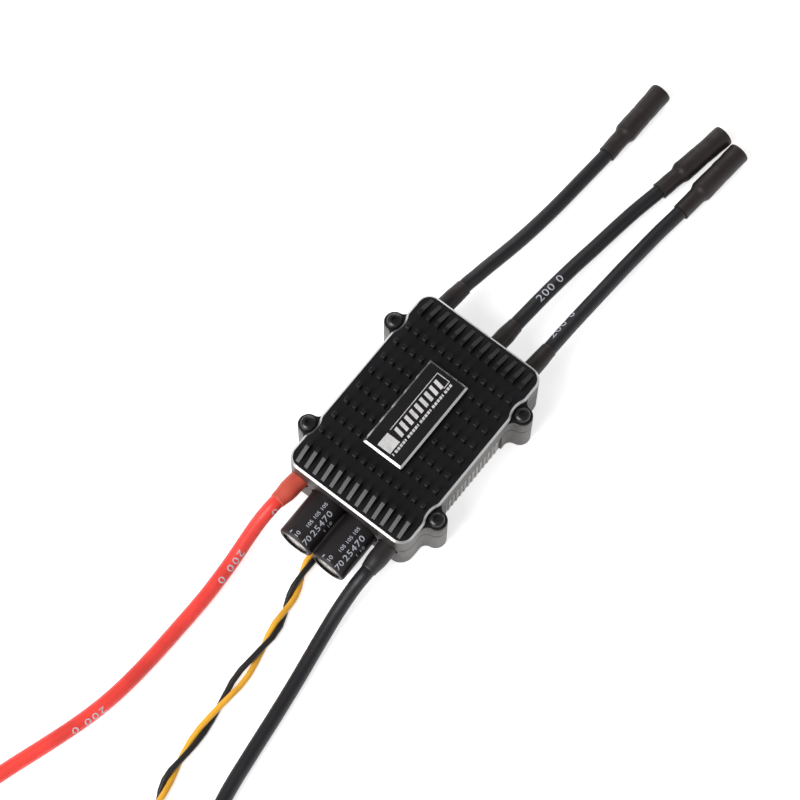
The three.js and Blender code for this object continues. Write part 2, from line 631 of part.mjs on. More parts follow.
function socketShrink([from, to]) {
  const bore = SOCKET_RADIUS - SOCKET_SHRINK_WALL;
  const boreStart = SOCKET_LENGTH - BULLET_LENGTH - 2 * GAP;
  return turned([
    [0, 0],
    [SOCKET_NECK_RADIUS, 0],
    [SOCKET_NECK_RADIUS, SOCKET_NECK_LENGTH],
    [SOCKET_RADIUS, SOCKET_NECK_LENGTH + 1.6],
    [SOCKET_RADIUS, SOCKET_LENGTH],
    [bore, SOCKET_LENGTH],
    [bore, boreStart],
    [0, boreStart],
  ], from, to, 16);
}

function bulletSocket([from, to]) {
  const radius = SOCKET_RADIUS - SOCKET_SHRINK_WALL - GAP;
  const start = SOCKET_LENGTH - BULLET_LENGTH - GAP;
  const end = start + BULLET_LENGTH;
  return turned([
    [0, start],
    [radius, start],
    [radius, end],
    [BULLET_BORE_RADIUS, end],
    [BULLET_BORE_RADIUS, end - BULLET_BORE_DEPTH],
    [0, end - BULLET_BORE_DEPTH],
  ], from, to, 16);
}

function tinnedEnd(points) {
  const [before, last] = points.slice(-2);
  const direction = new THREE.Vector3(...last).sub(new THREE.Vector3(...before)).normalize();
  const start = new THREE.Vector3(...last).addScaledVector(direction, GAP);
  const beyond = start.clone().add(direction);
  return turned([
    [0, 0],
    [TINNED_RADIUS, 0],
    [TINNED_RADIUS, TINNED_LENGTH - 0.6],
    [TINNED_RADIUS * 0.6, TINNED_LENGTH],
    [0, TINNED_LENGTH],
  ], start.toArray(), beyond.toArray(), 10);
}

function signalCoil() {
  const half = COIL_ROWS * SIGNAL_PAIR_RADIUS + 0.1;
  const edge = 1.0;
  const low = 0.1;
  const high = low + 2 * half;
  const inner = COIL_RADIUS - half;
  const outer = COIL_RADIUS + half;
  return turned([
    [inner, low + edge],
    [inner + edge, low],
    [outer - edge, low],
    [outer, low + edge],
    [outer, high - edge],
    [outer - edge, high],
    [inner + edge, high],
    [inner, high - edge],
    [inner, low + edge],
  ], [...COIL_CENTRE, 0], [...COIL_CENTRE, 1], 32);
}

function signalPlug() {
  const [x, y, z] = placed(-1, 0, SIGNAL_TAIL).at(-1);
  const start = y + GAP;
  const low = z - PLUG_HEIGHT / 2;
  const half = PLUG_WIDTH / 2;
  const body = solidFrom(block(x - half, x + half, start, start + PLUG_LENGTH, low, low + PLUG_HEIGHT));
  const step = 0.4;
  const waist = [-1, 1].map((side) => block(
    x + side * (PLUG_WIDTH / 2 - step) - (side < 0 ? 1 : 0),
    x + side * (PLUG_WIDTH / 2 - step) + (side > 0 ? 1 : 0),
    start + PLUG_LENGTH * 0.55,
    start + PLUG_LENGTH + 1,
    low - 1,
    low + PLUG_HEIGHT + 1,
  ));
  return geometryFrom(waist.reduce((solid, cut) => solid.subtract(solidFrom(cut)), body));
}

// ---------------------------------------------------------------- assembly

const part = new THREE.Group();

function place(name, geometry, color, roughness, metalness) {
  const mesh = new THREE.Mesh(geometry, new THREE.MeshStandardMaterial({ color, roughness, metalness }));
  mesh.name = name;
  part.add(mesh);
}

place('top_cover', topCover(), 0x1c1b1e, 0.45, 0.6);
place('base_tray', baseTray(), 0x77736e, 0.45, 0.7);
EAR_CENTRES.forEach(([x, y], i) => place(`case_screw_${i + 1}`, caseScrew(x, y), 0x17171a, 0.35, 0.8));

place('power_board', powerBoard(), 0x1d3a2a, 0.5, 0.0);
place('thermal_pad', thermalPad(), 0x8f9aa6, 0.8, 0.0);
const transistorBase = POWER_BOARD_HEIGHT - GAP - TRANSISTOR_HEIGHT;
[-1, 0, 1].flatMap((column) => [[column, -1], [column, 1]]).forEach(([column, row], i) => {
  const [x, y] = [column * TRANSISTOR_PITCH, row * TRANSISTOR_ROW_SPACING / 2];
  place(`mosfet_${i + 1}`, onBoard(x, y, transistorBase, 5.2, 6.2, TRANSISTOR_HEIGHT), 0x1b1b1d, 0.5, 0.0);
});
const shunt = onBoard(0, POWER_BOARD_HALF_WIDTH - 3, POWER_BOARD_TOP + GAP, 6.4, 3.2, 1.0);
place('current_shunt', shunt, 0x8b8d90, 0.4, 0.8);
[-1, 1].forEach((side, i) => {
  const x = side * (CONTROL_BOARD_LENGTH / 2 - HEADER_WIDTH);
  const header = onBoard(x, 0, POWER_BOARD_TOP + GAP, HEADER_WIDTH, HEADER_LENGTH, HEADER_HEIGHT);
  place(`board_header_${i + 1}`, header, 0x18181a, 0.6, 0.0);
});
place('control_board', controlBoard(), 0x1d3a2a, 0.5, 0.0);
const chipBase = CONTROL_BOARD_TOP + GAP;
place('microcontroller', onBoard(-3, 0, chipBase, 7, 7, 1.2), 0x1a1a1c, 0.5, 0.0);
[-7, 0, 7].forEach((y, i) => {
  place(`gate_driver_${i + 1}`, onBoard(7, y, chipBase, 4, 4, 0.9), 0x1a1a1c, 0.5, 0.0);
});
place('voltage_regulator', onBoard(-9, 7, chipBase, 4, 5, 1.4), 0x1a1a1c, 0.5, 0.0);

[-1, 1].forEach((side, i) => {
  const { sleeve, can, bung, wires } = capacitorPieces(side);
  place(`capacitor_sleeve_${i + 1}`, sleeve, 0x1e1b1c, 0.35, 0.0);
  place(`capacitor_can_${i + 1}`, can, 0xc9c7c6, 0.3, 0.9);
  place(`capacitor_bung_${i + 1}`, bung, 0x161616, 0.8, 0.0);
  wires.forEach((wire, j) => place(`capacitor_wire_${i * 2 + j + 1}`, wire, 0xb8b9bb, 0.3, 0.9));
});

MOTOR_LEADS.forEach(({ exitY, sleeve, route, socket }, i) => {
  const number = i + 1;
  const sleeveEnds = placed(1, exitY, sleeve);
  const socketEnds = placed(1, exitY, socket);
  const lead = tube(leadRoute(sleeveEnds, placed(1, exitY, route)), MOTOR_LEAD_RADIUS, 9);
  const shrink = exitSleeve(sleeveEnds, MOTOR_SLEEVE_RADIUS, MOTOR_LEAD_RADIUS);
  place(`motor_sleeve_${number}`, shrink, 0x332c29, 0.5, 0.0);
  place(`motor_lead_${number}`, lead, 0x262427, 0.5, 0.0);
  place(`socket_shrink_${number}`, socketShrink(socketEnds), 0x352c29, 0.4, 0.0);
  place(`bullet_socket_${number}`, bulletSocket(socketEnds), 0xd0a24a, 0.25, 1.0);
});

for (const { name, exitY, color, sleeveColor, sleeve, route } of POWER_LEADS) {
  const sleeveEnds = placed(-1, exitY, sleeve);
  const points = leadRoute(sleeveEnds, placed(-1, exitY, route));
  const sleeveSolid = exitSleeve(sleeveEnds, POWER_SLEEVE_RADIUS, POWER_LEAD_RADIUS);
  place(`power_sleeve_${name}`, sleeveSolid, sleeveColor, 0.5, 0.0);
  place(`power_lead_${name}`, tube(points, POWER_LEAD_RADIUS, 16), color, 0.4, 0.0);
  place(`tinned_end_${name}`, tinnedEnd(points), 0xc4c6c8, 0.3, 0.9);
}

place('signal_lead', tube(placed(-1, 0, SIGNAL_ROUTE), SIGNAL_PAIR_RADIUS, 18), 0xd9962f, 0.5, 0.0);
place('signal_coil', signalCoil(), 0xd9962f, 0.5, 0.0);
place('signal_tail', tube(placed(-1, 0, SIGNAL_TAIL), SIGNAL_PAIR_RADIUS, 1), 0xd9962f, 0.5, 0.0);
place('signal_plug', signalPlug(), 0x1b1b1d, 0.6, 0.0);

export default part;
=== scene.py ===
"""Electronic speed controller for a brushless motor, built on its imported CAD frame."""

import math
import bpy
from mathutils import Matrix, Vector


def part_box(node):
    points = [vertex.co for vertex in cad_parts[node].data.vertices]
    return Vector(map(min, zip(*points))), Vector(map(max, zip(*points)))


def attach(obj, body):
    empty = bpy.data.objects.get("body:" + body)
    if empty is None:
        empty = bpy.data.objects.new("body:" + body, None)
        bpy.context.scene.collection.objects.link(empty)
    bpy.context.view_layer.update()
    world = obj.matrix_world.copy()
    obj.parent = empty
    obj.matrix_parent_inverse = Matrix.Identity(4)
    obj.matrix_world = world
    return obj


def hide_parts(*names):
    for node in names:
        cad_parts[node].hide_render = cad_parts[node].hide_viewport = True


bl_info = {
    "name": "Motor Speed Controller",
    "version": (1, 0, 0),
    "blender": (4, 5, 0),
    "location": "View3D > Sidebar > Speed Controller",
    "description": "Builds a finned motor speed controller with its leads, round a fixed frame",
    "category": "Object",
}

import bmesh
import bpy
from bpy.props import FloatProperty, FloatVectorProperty, IntProperty, PointerProperty
from mathutils import Matrix, Vector, noise

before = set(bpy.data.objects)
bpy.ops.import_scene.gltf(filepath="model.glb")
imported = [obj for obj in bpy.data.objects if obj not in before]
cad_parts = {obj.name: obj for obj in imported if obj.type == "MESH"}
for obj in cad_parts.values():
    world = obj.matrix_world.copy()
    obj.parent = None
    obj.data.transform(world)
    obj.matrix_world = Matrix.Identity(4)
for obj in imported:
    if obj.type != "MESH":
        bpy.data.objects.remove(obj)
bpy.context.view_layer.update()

MM = 0.001
TAU = 2 * math.pi


# ---------------------------------------------------------------- sizes taken from the frame


COVER_LOW, COVER_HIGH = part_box("top_cover")
TRAY_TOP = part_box("base_tray")[1].z
SCREW_LOW, SCREW_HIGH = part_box("case_screw_1")
CAN_LOW, CAN_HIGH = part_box("capacitor_sleeve_1")
HALF_LENGTH = COVER_HIGH.x
EAR_X = (SCREW_LOW.x + SCREW_HIGH.x) / 2
EAR_Y = (SCREW_LOW.y + SCREW_HIGH.y) / 2
EAR_RADIUS = COVER_HIGH.y - EAR_Y
CAPACITOR_RADIUS = (CAN_HIGH.z - CAN_LOW.z) / 2
CAPACITOR_HEIGHT = (CAN_HIGH.z + CAN_LOW.z) / 2
CORNERS = ((1, 1), (1, -1), (-1, 1), (-1, -1))


# ---------------------------------------------------------------- routes of the leads

# Points along each centreline, in millimetres: out from the case's end, across from the place where the lead
# crosses the end wall, and the height
MOTOR_LEADS = [
    {
        "exit_y": 14.8,
        "sleeve": [(-4.9, 0.4, 9.2), (9.1, -0.9, 8.5)],
        "route": [(13.6, -1.5, 8.0), (17.6, -2.0, 7.3), (25.1, -3.1, 6.0), (33.6, -4.1, 4.6),
                  (43.8, -5.0, 3.6), (53.1, -5.6, 3.2), (58.9, -6.0, 3.1), (63.5, -6.3, 3.1)],
        "socket": [(63.8, -6.3, 3.1), (87.1, -6.9, 3.1)],
    },
    {
        "exit_y": -2.4,
        "sleeve": [(-4.9, 0.2, 9.2), (9.1, -0.5, 8.5)],
        "route": [(15.9, -0.8, 7.6), (22.1, -1.1, 6.6), (28.1, -1.5, 5.5), (34.1, -2.0, 4.6),
                  (40.1, -2.7, 3.9), (48.1, -3.6, 3.3), (55.8, -4.7, 3.1), (63.7, -6.2, 3.1)],
        "socket": [(64.0, -6.3, 3.1), (87.4, -10.1, 3.1)],
    },
    {
        "exit_y": -13.4,
        "sleeve": [(-4.9, 0.2, 9.2), (9.1, -0.3, 8.5)],
        "route": [(15.1, -0.4, 7.8), (21.0, -0.5, 6.9), (27.6, -0.7, 5.9), (34.4, -0.9, 4.8),
                  (41.1, -1.2, 4.1), (47.5, -1.6, 3.4), (55.1, -2.2, 3.1), (62.4, -3.1, 3.1)],
        "socket": [(62.7, -3.2, 3.1), (86.0, -5.2, 3.1)],
    },
]
POWER_LEADS = [
    {
        "name": "red",
        "exit_y": 14.6,
        "sleeve": [(-10.4, -1.1, 9.3), (7.6, 0.8, 8.5)],
        "route": [(13.9, 1.3, 7.0), (19.9, 1.1, 5.6), (25.9, 0.7, 4.4), (36.8, 0.4, 3.0),
                  (47.6, 0.7, 2.3), (58.1, 1.1, 2.1), (68.7, 2.0, 2.1), (76.1, 3.3, 2.1),
                  (82.4, 4.9, 2.1), (91.1, 7.6, 2.1), (101.1, 10.9, 2.1), (111.1, 13.8, 2.1),
                  (119.1, 15.8, 2.1)],
    },
    {
        "name": "black",
        "exit_y": -13.8,
        "sleeve": [(-10.4, -0.1, 9.3), (7.6, 0.1, 8.2)],
        "route": [(12.4, 0.3, 7.0), (16.9, 0.2, 5.7), (21.4, -0.1, 4.5), (30.2, -1.2, 3.0),
                  (39.1, -2.5, 2.3), (46.4, -3.5, 2.1), (52.5, -4.3, 2.1), (63.1, -5.6, 2.1),
                  (75.1, -7.5, 2.1), (85.1, -11.0, 2.1), (95.1, -16.7, 2.1), (104.1, -23.7, 2.1),
                  (111.1, -29.7, 2.1)],
    },
]
SIGNAL_ROUTE = [(-7.3, 0.0, 2.7), (0.0, 0.0, 2.4), (7.1, 0.2, 2.3), (14.1, 0.4, 2.1), (21.1, -1.2, 1.8),
                (27.9, -2.9, 1.7), (38.6, -4.4, 1.7), (49.6, -5.0, 1.7), (60.5, -5.6, 1.7),
                (71.1, -6.2, 1.7), (79.1, -7.2, 1.7), (86.6, -9.8, 1.7), (94.5, -13.9, 1.7)]
SIGNAL_TAIL = [(130.6, 7.4, 1.7), (130.6, 9.0, 1.7), (130.6, 10.7, 1.7)]
POWER_END, MOTOR_END = -1, 1

# The openings in the end walls
POWER_OPENING_HEIGHT, MOTOR_OPENING_HEIGHT = 8.84 * MM, 8.96 * MM
OPENING_CLEARANCE = 0.35 * MM


def placed(end, exit_y, points):
    """A route's points as places in the frame, in metres."""
    return [Vector((end * (HALF_LENGTH + out * MM), (exit_y + across) * MM, height * MM))
            for out, across, height in points]


def smooth_route(points, per_span=2):
    """Places along the smooth curve through the points, in even steps of the curve's own parameter."""
    points = [Vector(p) for p in points]
    padded = [2 * points[0] - points[1], *points, 2 * points[-1] - points[-2]]
    places = []
    for i in range(len(points) - 1):
        p0, p1, p2, p3 = padded[i:i + 4]
        t0 = 0.0
        t1 = t0 + math.sqrt((p1 - p0).length)
        t2 = t1 + math.sqrt((p2 - p1).length)
        t3 = t2 + math.sqrt((p3 - p2).length)
        for step in range(per_span):
            t = t1 + (t2 - t1) * step / per_span
            a1 = p0.lerp(p1, (t - t0) / (t1 - t0))
            a2 = p1.lerp(p2, (t - t1) / (t2 - t1))
            a3 = p2.lerp(p3, (t - t2) / (t3 - t2))
            b1 = a1.lerp(a2, (t - t0) / (t2 - t0))
            b2 = a2.lerp(a3, (t - t1) / (t3 - t1))
            places.append(b1.lerp(b2, (t - t1) / (t2 - t1)))
    places.append(points[-1])
    return places


def along(points, distance):
    """The place and direction at a distance along a line of points."""
    left = distance
    for a, b in zip(points, points[1:]):
        step = (b - a).length
        if left <= step or b is points[-1]:
            return a + (b - a).normalized() * left, (b - a).normalized()
        left -= step
    raise ValueError("the line has fewer than two points")


def eased(value, start, end):
    """From 0 at the start to 1 at the end, level at both."""
    share = min(1.0, max(0.0, (value - start) / (end - start)))
    return share * share * (3 - 2 * share)


# ---------------------------------------------------------------- properties


def length_property(name, description, millimetres):
    return FloatProperty(name=name, description=description, default=millimetres * MM, unit="LENGTH")


def color_property(name, description, color):
    return FloatVectorProperty(name=name, description=description, subtype="COLOR", size=3, default=color)


class CaseSizes(bpy.types.PropertyGroup):
    """The case's sizes that the frame's boxes don't give."""

    half_width: length_property("Half Width", "From the middle to a side wall", 18.95)
    corner_radius: length_property("Corner Radius", "Of the four upright corners", 3.7)
    rim_height: length_property("Rim Height", "Top of the plate that the fins stand on", 17.4)
    ear_height: length_property("Ear Height", "Top of the four screw ears", 15.5)
    ear_fillet: length_property("Ear Fillet", "Radius between an ear and the side", 2.0)
    chamfer: length_property("Chamfer", "Width of the bright machined edge", 0.55)
    notch_depth: length_property("Notch Depth", "Of the scallop beside each screw", 0.85)
    notch_half_width: length_property("Notch Half Width", "Of the scallop at the side", 3.0)
    wall: length_property("Wall", "Thickness of the case's walls", 1.7)
    plate: length_property("Plate", "Thickness of the cover's top", 2.0)
    panel_depth: length_property("Panel Depth", "Of the ribbed recess in each long side", 0.65)
    panel_length: length_property("Panel Length", "Of the ribbed recess", 23.0)


class FinSizes(bpy.types.PropertyGroup):
    """The pins, the sloping end fins and the label's plateau."""

    rows: IntProperty(name="Rows", description="Rows of fins across the case", default=13, min=1)
    columns: IntProperty(name="Columns", description="Pins along the case", default=8, min=1)
    row_pitch: length_property("Row Pitch", "Between neighbouring rows", 2.67)
    column_pitch: length_property("Column Pitch", "Between neighbouring pins of a row", 5.0)
    width: length_property("Width", "Of a fin, across the case", 1.1)
    length: length_property("Pin Length", "Along the case", 1.4)
    height: length_property("Height", "Above the plate", 2.5)
    ramp: length_property("Ramp", "Length of an end fin's slope", 4.35)
    label_length: length_property("Label Length", "Of the plateau", 27.4)
    label_width: length_property("Label Width", "Of the plateau", 12.15)
    label_height: length_property("Label Height", "Of the plateau above the plate", 2.8)
    label_chamfer: length_property("Label Chamfer", "Of the plateau's bright edge", 0.55)


class LeadSizes(bpy.types.PropertyGroup):
    """The leads, their sleeves and sockets."""

    motor_radius: length_property("Motor Lead Radius", "Over the insulation", 1.95)
    motor_sleeve_radius: length_property("Motor Sleeve Radius", "Over the heat shrink", 2.4)
    power_radius: length_property("Power Lead Radius", "Over the insulation", 1.95)
    power_sleeve_radius: length_property("Power Sleeve Radius", "Over the heat shrink", 2.6)
    socket_radius: length_property("Socket Radius", "Over the socket's heat shrink", 3.0)
    strand_radius: length_property("Strand Radius", "Of one signal strand", 0.8)
    twist_pitch: length_property("Twist Pitch", "Length of one full turn of the signal pair", 22.0)


class Finishes(bpy.types.PropertyGroup):
    """Colours of the finishes."""

    anodised: color_property("Anodised", "Black fins and cover", (0.0052, 0.0047, 0.0056))
    case_metal: color_property("Case Metal", "Side walls and base tray", (0.122, 0.115, 0.110))
    red_insulation: color_property("Red Insulation", "Red power lead", (0.84, 0.055, 0.042))
    red_shrink: color_property("Red Shrink", "Red lead's sleeve", (0.62, 0.085, 0.05))
    black_insulation: color_property("Black Insulation", "Black leads", (0.010, 0.0095, 0.0115))
    brown_shrink: color_property("Brown Shrink", "Motor lead sleeves", (0.019, 0.0138, 0.012))
    signal_orange: color_property("Signal Orange", "One signal strand", (0.86, 0.42, 0.03))


# ---------------------------------------------------------------- materials


def set_inputs(tree, node, inputs):
    """Links each input to another node's output, or gives it a value."""
    for name, value in inputs.items():
        if isinstance(value, bpy.types.NodeSocket):
            tree.links.new(value, node.inputs[name])
        else:
            node.inputs[name].default_value = value


def add_node(tree, kind, inputs, **settings):
    node = tree.nodes.new(kind)
    for name, value in settings.items():
        setattr(node, name, value)
    set_inputs(tree, node, inputs)
    return node


def new_material(name):
    material = bpy.data.materials.new(name)
    material.use_nodes = True
    tree = material.node_tree
    return material, tree, tree.nodes["Principled BSDF"]


def object_coordinates(tree, scale=(1, 1, 1)):
    """Object coordinates, stretched by a Mapping node."""
    coordinates = add_node(tree, "ShaderNodeTexCoord", {})
    inputs = {"Vector": coordinates.outputs["Object"], "Scale": scale}
    return add_node(tree, "ShaderNodeMapping", inputs).outputs["Vector"]


def noise_texture(tree, vector, scale, detail=4.0):
    inputs = {"Vector": vector, "Scale": scale, "Detail": detail}
    return add_node(tree, "ShaderNodeTexNoise", inputs).outputs["Fac"]


def ramp(tree, factor, low, high, start=0.3, end=0.7):
    """A factor turned into a colour between two."""
    node = add_node(tree, "ShaderNodeValToRGB", {"Fac": factor})
    for element, position, color in zip(node.color_ramp.elements, (start, end), (low, high)):
        element.position = position
        element.color = (*color, 1)
    return node.outputs["Color"]


def varied_range(tree, factor, low, high):
    inputs = {"Value": factor, "To Min": low, "To Max": high}
    return add_node(tree, "ShaderNodeMapRange", inputs).outputs["Result"]


def bump(tree, height, strength, distance):
    inputs = {"Height": height, "Strength": strength, "Distance": distance}
    return add_node(tree, "ShaderNodeBump", inputs).outputs["Normal"]


def shade(color, factor):
    return tuple(min(1.0, c * factor) for c in color)


def textured(name, low, high, rough, scale, detail=4.0, stretch=(1, 1, 1), grain=None,
             relief=(0.1, 0.00003), specular=0.5, metallic=0.0):
    """Colour and roughness that drift with a noise; the skin's relief is that noise, or a finer grain."""
    material, tree, shader = new_material(name)
    vector = object_coordinates(tree, stretch)
    cloud = noise_texture(tree, vector, scale, detail)
    skin = noise_texture(tree, vector, *grain) if grain else cloud
    set_inputs(tree, shader, {
        "Base Color": ramp(tree, cloud, low, high),
        "Roughness": varied_range(tree, cloud, *rough),
        "Metallic": metallic,
        "Specular IOR Level": specular,
        "Normal": bump(tree, skin, *relief),
    })
    return material


def anodised_black():
    """Satin black anodising over fine bead blasting."""
    color = bpy.context.scene.controller_finishes.anodised
    return textured("anodised_black", shade(color, 0.8), shade(color, 1.35), (0.32, 0.44), 160.0,
                    grain=(9000.0, 2.0), relief=(0.25, 0.00002), specular=0.42)


def machined_edge():
    """Bright chamfers, cut through the anodising, with fine tool lines."""
    return textured("machined_edge", (0.56, 0.555, 0.55), (0.68, 0.68, 0.68), (0.24, 0.36), 700.0, 2.0,
                    (1, 1, 30), relief=(0.08, 0.00003), metallic=1.0)


def case_aluminium():
    """Bare cast and blasted aluminium with a warm cast, slightly mottled."""
    color = bpy.context.scene.controller_finishes.case_metal
    return textured("case_aluminium", shade(color, 0.82), shade(color, 1.15), (0.33, 0.48), 240.0,
                    grain=(6000.0, 3.0), relief=(0.35, 0.00003), metallic=0.85)


def recess_aluminium():
    """The ribbed recesses: brighter than the blasted walls, a painted highlight that offsets the shade in the
    recess.
    """
    return textured("recess_aluminium", (0.36, 0.35, 0.34), (0.52, 0.51, 0.495), (0.3, 0.5), 1500.0, 2.0,
                    (1, 1, 0.15), relief=(0.2, 0.00003), metallic=0.85)


def circuit_board():
    """Green solder mask, with the lighter lines of the tracks under it."""
    material, tree, shader = new_material("circuit_board")
    tracks = add_node(tree, "ShaderNodeTexBrick", {
        "Vector": object_coordinates(tree), "Scale": 420.0, "Mortar Size": 0.03,
        "Color1": (0.012, 0.075, 0.035, 1), "Color2": (0.016, 0.095, 0.045, 1),
        "Mortar": (0.03, 0.16, 0.07, 1),
    })
    set_inputs(tree, shader, {
        "Base Color": tracks.outputs["Color"], "Roughness": 0.3,
        "Normal": bump(tree, tracks.outputs["Fac"], 0.2, 0.00003),
    })
    return material


def moulded(name, color, rough, scale=900.0, strength=0.15, specular=0.5):
    """A plastic, rubber or coating: a soft colour cloud and a fine skin."""
    if isinstance(color, str):
        color = getattr(bpy.context.scene.controller_finishes, color)
    return textured(name, shade(color, 0.85), shade(color, 1.15), rough, scale * 0.2, grain=(scale * 3,),
                    relief=(strength, 0.00004), specular=specular)


def bright_metal(name, color, rough, stretch=(1, 1, 1), scale=800.0):
    return textured(name, shade(color, 0.88), shade(color, 1.05), rough, scale, 3.0, stretch, metallic=1.0)


# What moulded takes for each finish: its colour may be the name of a property
MOULDED = {
    "screw": ("screw_black_oxide", (0.008, 0.008, 0.009), (0.22, 0.34), 1500.0, 0.1, 0.6),
    "chip": ("chip_epoxy", (0.012, 0.012, 0.013), (0.5, 0.65)),
    "pad": ("thermal_silicone", (0.35, 0.40, 0.45), (0.7, 0.85)),
    "film": ("capacitor_film", (0.0115, 0.0085, 0.0092), (0.4, 0.52), 700.0, 0.12, 0.45),
    "bung": ("capacitor_bung", (0.012, 0.012, 0.012), (0.7, 0.85)),
    "red": ("red_silicone", "red_insulation", (0.3, 0.4), 500.0, 0.08, 0.55),
    "red_shrink": ("red_shrink", "red_shrink", (0.42, 0.55), 700.0, 0.15, 0.45),
    "black": ("black_silicone", "black_insulation", (0.36, 0.46), 500.0, 0.08),
    "black_shrink": ("black_shrink", (0.0185, 0.0165, 0.0165), (0.4, 0.52), 700.0, 0.16),
    "brown_shrink": ("brown_shrink", "brown_shrink", (0.36, 0.52), 700.0, 0.16),
    "orange": ("orange_strand", "signal_orange", (0.32, 0.42), 700.0, 0.06),
    "black_strand": ("black_strand", (0.012, 0.012, 0.012), (0.3, 0.42), 700.0, 0.06),
    "plug": ("plug_plastic", (0.012, 0.012, 0.013), (0.42, 0.55), 1200.0, 0.2, 0.45),
    "print": ("white_print", (0.52, 0.54, 0.60), (0.5, 0.65), 3000.0, 0.1, 0.3),
    "etched": ("etched_mark", (0.62, 0.61, 0.60), (0.38, 0.5), 3000.0, 0.1),
}
BRIGHT = {
    "shunt": ("shunt_alloy", (0.45, 0.44, 0.43), (0.3, 0.45)),
    "can": ("capacitor_can", (0.72, 0.71, 0.70), (0.26, 0.36), (3, 1, 1), 260.0),
    "tin": ("tinned_copper", (0.62, 0.63, 0.65), (0.25, 0.4), (1, 8, 8)),
    "gold": ("gold_plate", (0.95, 0.66, 0.25), (0.14, 0.26), (12, 1, 1)),
}
CASE_FINISHES = {"anodised": anodised_black, "edge": machined_edge, "case": case_aluminium,
                 "recess": recess_aluminium, "board": circuit_board}
_made = {}


def finish_of(name):
    """Each finish is made once, when it is first asked for."""
    if name not in _made:
        if name in MOULDED:
            _made[name] = moulded(*MOULDED[name])
        elif name in BRIGHT:
            _made[name] = bright_metal(*BRIGHT[name])
        else:
            _made[name] = CASE_FINISHES[name]()
    return _made[name]


# ---------------------------------------------------------------- mesh building


def new_object(name, data):
    made = bpy.data.objects.new(name, data)
    bpy.context.scene.collection.objects.link(made)
    return made


def new_piece(name, mesh_data, finishes, smooth_angle=None):
    """An object from a bmesh, with its finishes in its slots; edges sharper than smooth_angle stay sharp."""
    mesh = bpy.data.meshes.new(name)
    bmesh.ops.recalc_face_normals(mesh_data, faces=mesh_data.faces)
    mesh_data.to_mesh(mesh)
    mesh_data.free()
    for finish in finishes:
        mesh.materials.append(finish_of(finish))
    if smooth_angle is not None:
        smooth(mesh, smooth_angle)
    return new_object(name, mesh)


def smooth(mesh, degrees):
    mesh.polygons.foreach_set("use_smooth", [True] * len(mesh.polygons))
    mesh.set_sharp_from_angle(angle=math.radians(degrees))


def arc(cx, cy, radius, start, end, steps):
    """Points on an arc, with both ends; angles in radians."""
    return [(cx + radius * math.cos(start + (end - start) * i / steps),
             cy + radius * math.sin(start + (end - start) * i / steps)) for i in range(steps + 1)]


def rounded_rectangle(half_x, half_y, radius, steps=8):
    corners = [(1, -1, -0.25), (1, 1, 0.0), (-1, 1, 0.25), (-1, -1, 0.5)]
    points = []
    for sx, sy, turn in corners:
        start = turn * TAU
        points += arc(sx * (half_x - radius), sy * (half_y - radius), radius, start, start + TAU / 4, steps)
    return points


def quadratic(p0, p1, p2, steps):
    """Points on a quadratic curve, without its start."""
    places = []
    for i in range(1, steps + 1):
        t = i / steps
        weights = ((1 - t) ** 2, 2 * t * (1 - t), t * t)
        places.append(tuple(sum(w * p[k] for w, p in zip(weights, (p0, p1, p2))) for k in (0, 1)))
    return places


def notched_outline():
    """The cover's rim: a rounded rectangle with a soft scallop beside each screw."""
    case = bpy.context.scene.controller_case
    edge, half, floor_half, lead_in = case.half_width, case.notch_half_width, 1.3 * MM, 0.6 * MM
    points = rounded_rectangle(HALF_LENGTH, edge, case.corner_radius)
    quarter = len(points) // 4
    with_notches = []
    for corner in range(4):
        with_notches += points[corner * quarter:(corner + 1) * quarter]
        if corner % 2 == 0:
            continue
        side = 1 if corner == 1 else -1
        top, low = side * edge, side * (edge - case.notch_depth)
        slope = ((half + floor_half) / 2, (top + low) / 2)
        flank = [(half + lead_in, top), (half, top), slope, (floor_half, low)]
        shape = [(-out, y) for out, y in flank] + [(0.0, low)] + flank[::-1]
        for place in (EAR_X * side, -EAR_X * side):
            knots = [(place - side * out, y) for out, y in shape]
            with_notches.append(knots[0])
            for k in (0, 2, 4, 6):
                with_notches += quadratic(knots[k], knots[k + 1], knots[k + 2], 5)
    return with_notches


def eared_outline():
    """The case's walls seen from above, with four screw ears and their fillets."""
    case = bpy.context.scene.controller_case
    rise = case.half_width + case.ear_fillet - EAR_Y
    run = math.sqrt((EAR_RADIUS + case.ear_fillet) ** 2 - rise ** 2)
    flank = math.atan2(rise, run)
    far = case.half_width + case.ear_fillet

    def ear(x):
        """Along the +Y side, from +X to -X."""
        points = arc(x + run, far, case.ear_fillet, -math.pi / 2, -math.pi + flank, 6)
        points += arc(x, EAR_Y, EAR_RADIUS, flank, math.pi - flank, 18)[1:]
        points += arc(x - run, far, case.ear_fillet, -flank, -math.pi / 2, 6)[1:]
        return points

    half = rounded_rectangle(HALF_LENGTH, case.half_width, case.corner_radius)
    quarter = len(half) // 4
    points = half[quarter:2 * quarter] + ear(EAR_X) + ear(-EAR_X) + half[2 * quarter:3 * quarter]
    return points + [(-x, -y) for x, y in points]


def inset(outline, distance):
    """The outline moved inwards by a distance, corner by corner."""
    count = len(outline)
    moved = []
    for i in range(count):
        before, here, after = (Vector(outline[(i + k) % count]) for k in (-1, 0, 1))
        first, second = (here - before), (after - here)
        if first.length < 1e-9:
            first = second
        if second.length < 1e-9:
            second = first
        n1 = Vector((-first.y, first.x)).normalized()
        n2 = Vector((-second.y, second.x)).normalized()
        mitre = (n1 + n2).normalized()
        moved.append(here + mitre * distance / max(0.3, mitre.dot(n1)))
    return moved


